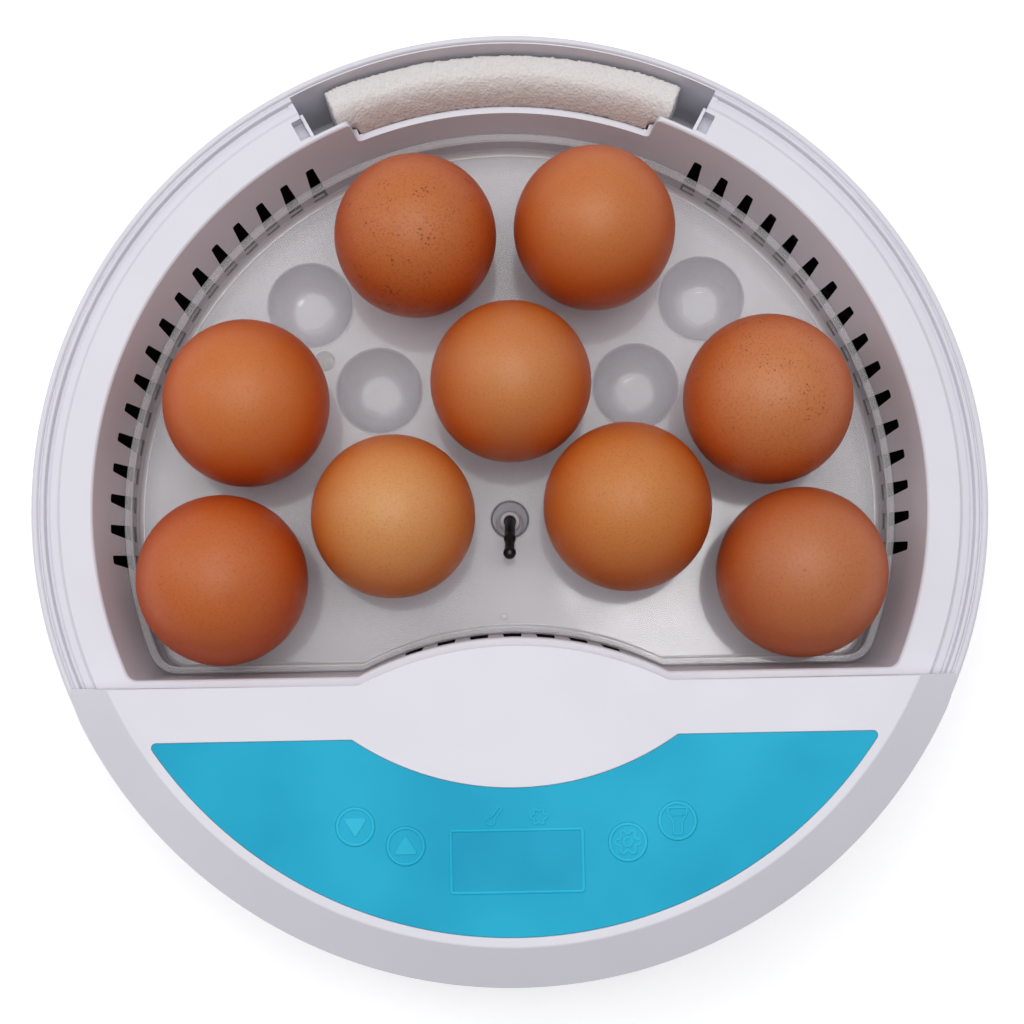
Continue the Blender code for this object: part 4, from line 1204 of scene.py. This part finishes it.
def make_sponge():
    """A block of foam bent to the pocket: crowned, porous and a little ragged."""
    low, high = span("sponge")
    sections = []
    for z in (low.z + 0.2, high.z - 1.0):
        sections.append((z, sponge_outline(POCKET_OUT - 0.4 - (RIM_Z - z) * POCKET_DRAFT)))
    made = helper("sponge_work", loft(sections))
    voxels = made.modifiers.new("voxels", "REMESH")
    voxels.mode = "VOXEL"
    voxels.voxel_size = 0.55 * MM
    bm = opened(taken(made))
    axes = {f"use_axis_{axis}": True for axis in "xyz"}
    for _ in range(4):
        bmesh.ops.smooth_vert(bm, verts=bm.verts, factor=0.5, **axes)
    for vert in bm.verts:
        up = min(1.0, max(0.0, (vert.co.z / MM - 36.0) / (high.z - 37.0))) ** 2
        out = min(1.0, max(0.0, vert.co.xy.length / MM - LOW_WALL_R) / 8.5)
        end = (math.atan2(vert.co.x, vert.co.y) / math.radians(SPONGE_HALF)) ** 2
        vert.co.z += MM * up * (-2.6 + (6.2 + 1.6 * end) * math.sin(out * math.pi / 2))
    bm.normal_update()
    moves = []
    for vert in bm.verts:
        here = vert.co / MM
        lump = 0.2 * noise.noise(here / 8.0)
        cell = 0.16 * noise.cell(here / 0.65)
        pit = -0.5 * max(0.0, noise.noise(here / 0.85) - 0.12)
        moves.append(vert.normal * min(0.2, lump + cell - 0.1 + pit) * MM)
    for vert, move in zip(bm.verts, moves):
        vert.co += move
    sponge = piece("humidity_sponge", mesh_from("sponge", bm), FOAM, ["sponge"], "sponge")
    sponge.data.shade_smooth()


# Probe, grommet, lamp


def make_probe():
    """The temperature probe: a black sleeve bent forward, with a collar and a round tip."""
    x, y = spot_of("sensor_grommet")
    # How far the sleeve's middle has moved from the grommet's, and its height
    bends = ((0, 0, 11.8), (0, 0, 17.0), (0, 0, 22.0), (0, 0.15, 27.0), (0, 0.6, 31.0), (0.05, 1.8, 34.2))
    bends += ((0.1, 3.8, 36.8), (0.2, 6.4, 39.2), (0.3, 10.2, 42.4))
    route = [(x - left, y - ahead, z) for left, ahead, z in bends]
    points = smooth_route(route, 8)
    widths = []
    for k in range(len(points)):
        share = k / (len(points) - 1)
        width = 1.0 + (0.14 if 0.84 < share < 0.88 else 0.0) + (0.16 if 0.42 < share < 0.55 else 0.0)
        widths.append(width - (0.12 if share > 0.9 else 0.0))
    mesh = line_mesh("probe", points, 2.9, 6, widths=widths)
    bm = bmesh.new()
    bmesh.ops.create_uvsphere(bm, u_segments=32, v_segments=20, radius=1.75 * MM)
    bmesh.ops.translate(bm, vec=[c * MM for c in route[-1]], verts=bm.verts)
    mesh = gathered([mesh, mesh_from("tip", bm)])
    piece("probe_sleeve", mesh, BLACK, ["sensor_probe"]).data.shade_smooth()
    low, high = span("sensor_grommet")
    profile = [(1.55, high.z + 0.3), (1.55, low.z), (2.6, low.z), (2.6, 16.7), (3.4, 16.7), (3.8, 17.1)]
    profile += [(3.8, 17.6), (3.4, high.z)]
    profile += [(r, high.z + up) for r, up in ((2.9, 0.4), (2.9, 6.2), (2.5, 6.8), (1.7, 6.6))]
    mesh = turned(profile, 64, (x, y))
    shaded(piece("probe_grommet", mesh, SILICONE, ["sensor_grommet"]), 50.0)


def smooth_route(route, rings):
    """Catmull-Rom points through a route."""
    ends = [Vector(p) for p in route]
    ends = [2 * ends[0] - ends[1], *ends, 2 * ends[-1] - ends[-2]]
    points = []
    for before, start, end, after in zip(ends, ends[1:], ends[2:], ends[3:]):
        for k in range(rings):
            t = k / rings
            bend = (2 * before - 5 * start + 4 * end - after) * t**2
            twist = (3 * start - before - 3 * end + after) * t**3
            points.append(0.5 * (2 * start + (end - before) * t + bend + twist))
    return [*points, ends[-2]]


def make_lamp():
    """The clear dome of the floor lamp."""
    low, high = span("candling_lamp")
    at, radius = spot_of("candling_lamp"), (high.x - low.x) / 2
    dome = [(radius * (1 - out), high.z - radius + radius * sine) for sine, out in quarter(10)]
    profile = [(0.0, low.z), (radius, low.z), *dome]
    mesh = turned(profile, 48, at)
    shaded(piece("lamp_dome", mesh, CLEAR, ["candling_lamp"]), 50)
    core = [(0.0, low.z + 0.6), (1.2, low.z + 0.6), (1.0, high.z - 2.6), (0.0, high.z - 2.6)]
    shaded(piece("lamp_core", turned(core, 24, at), BLACK))


# Pieces kept from the CAD


def finish_inner_pieces():
    """Materials for the CAD pieces that stay as they are, most of them inside."""
    looks = {
        BOARD: ("control_board", "lamp_board"),
        DARK_GLASS: ("led_display",),
        BLACK: ("fan_mount", "fan_rotor", "power_lead", "switch_"),
        STEEL: ("heater_element", "board_screw_"),
        CERAMIC: ("plunger_", "heater_post_"),
        SLEEVE: ("heater_lead_", "sensor_lead", "fan_lead", "lamp_lead"),
    }
    for name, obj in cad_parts.items():
        if obj.hide_render:
            continue
        look = next(made for made, starts in looks.items() if name.startswith(starts))
        obj.data.materials.clear()
        obj.data.materials.append(look)


# Camera and light

CAMERA_AT = (-3.91, -64.96, 658.77)
CAMERA_AIM = (0.38, -2.93, 62.0)
CAMERA_ROLL = -1.02
CAMERA_LENS = 80.96
SENSOR = 36.0


def make_camera():
    data = bpy.data.cameras.new("camera")
    data.sensor_width = SENSOR
    data.lens = CAMERA_LENS
    data.clip_start = 0.01
    camera = helper("camera", data)
    at, aim = Vector(CAMERA_AT) * MM, Vector(CAMERA_AIM) * MM
    back = (at - aim).normalized()
    right = (Vector((1.0, 0.0, 0.0)) - back * back.x).normalized()
    up = back.cross(right)
    roll = math.radians(CAMERA_ROLL)
    cos, sin = math.cos(roll), math.sin(roll)
    level = Matrix((right * cos + up * sin, up * cos - right * sin, back))
    camera.matrix_world = Matrix.Translation(at) @ level.transposed().to_4x4()
    bpy.context.scene.camera = camera


def softbox(name, at, size, energy, aim=(0.0, 0.0, 0.05)):
    """A square area light in metres, turned to the object."""
    data = bpy.data.lights.new(name, "AREA")
    data.size = size
    data.energy = energy
    made = helper(name, data)
    made.location = at
    made.rotation_euler = (Vector(aim) - Vector(at)).to_track_quat("-Z", "Y").to_euler()


def make_studio():
    world = bpy.data.worlds.new("studio")
    world.use_nodes = True
    sky = world.node_tree.nodes["Background"]
    tree = world.node_tree
    way = node(tree, "TexCoord").outputs["Generated"]
    along = node(tree, "SeparateXYZ", {"Vector": way}).outputs["Y"]
    tree.links.new(between(tree, along, 0.22, 0.58, -0.8, 0.8), sky.inputs["Strength"])
    sky.inputs["Color"].default_value = (0.98, 0.985, 1.0, 1.0)
    bpy.context.scene.world = world
    softbox("overhead", (-0.05, 0.1, 1.2), 1.1, 8.1)
    softbox("sheen", (0.152, 0.035, 1.15), 0.16, 0.5, aim=(0.05, -0.03, 0.03))
    softbox("left_box", (-0.95, 0.25, 0.75), 0.6, 1.7)
    softbox("right_box", (0.95, 0.25, 0.75), 0.6, 0.5)
    bm = bmesh.new()
    bmesh.ops.create_grid(bm, x_segments=1, y_segments=1, size=FLOOR_REACH * MM)
    floor = helper("studio_floor", mesh_from("studio_floor", bm))
    made, tree, shader = new_material("studio_paper", 0.9)
    tone = between(tree, grain(tree, place(tree), 300.0), 0.0, 1.0)
    fed(tree, shader, {"Base Color": blended(tree, tone, (0.92, 0.92, 0.92), (0.94, 0.94, 0.94))})
    fed(tree, shader, {"Emission Color": (1.0, 1.0, 1.0, 1.0), "Emission Strength": 0.28})
    floor.data.materials.append(made)


make_camera()
make_studio()
make_casing()
make_lower_shell()
make_feet()
make_screws()
make_socket()
make_housing()
make_film()
make_keys()
make_window()
make_tray()
make_eggs()
make_sponge()
make_probe()
make_lamp()
finish_inner_pieces()
bpy.context.scene.view_settings.view_transform = "Standard"
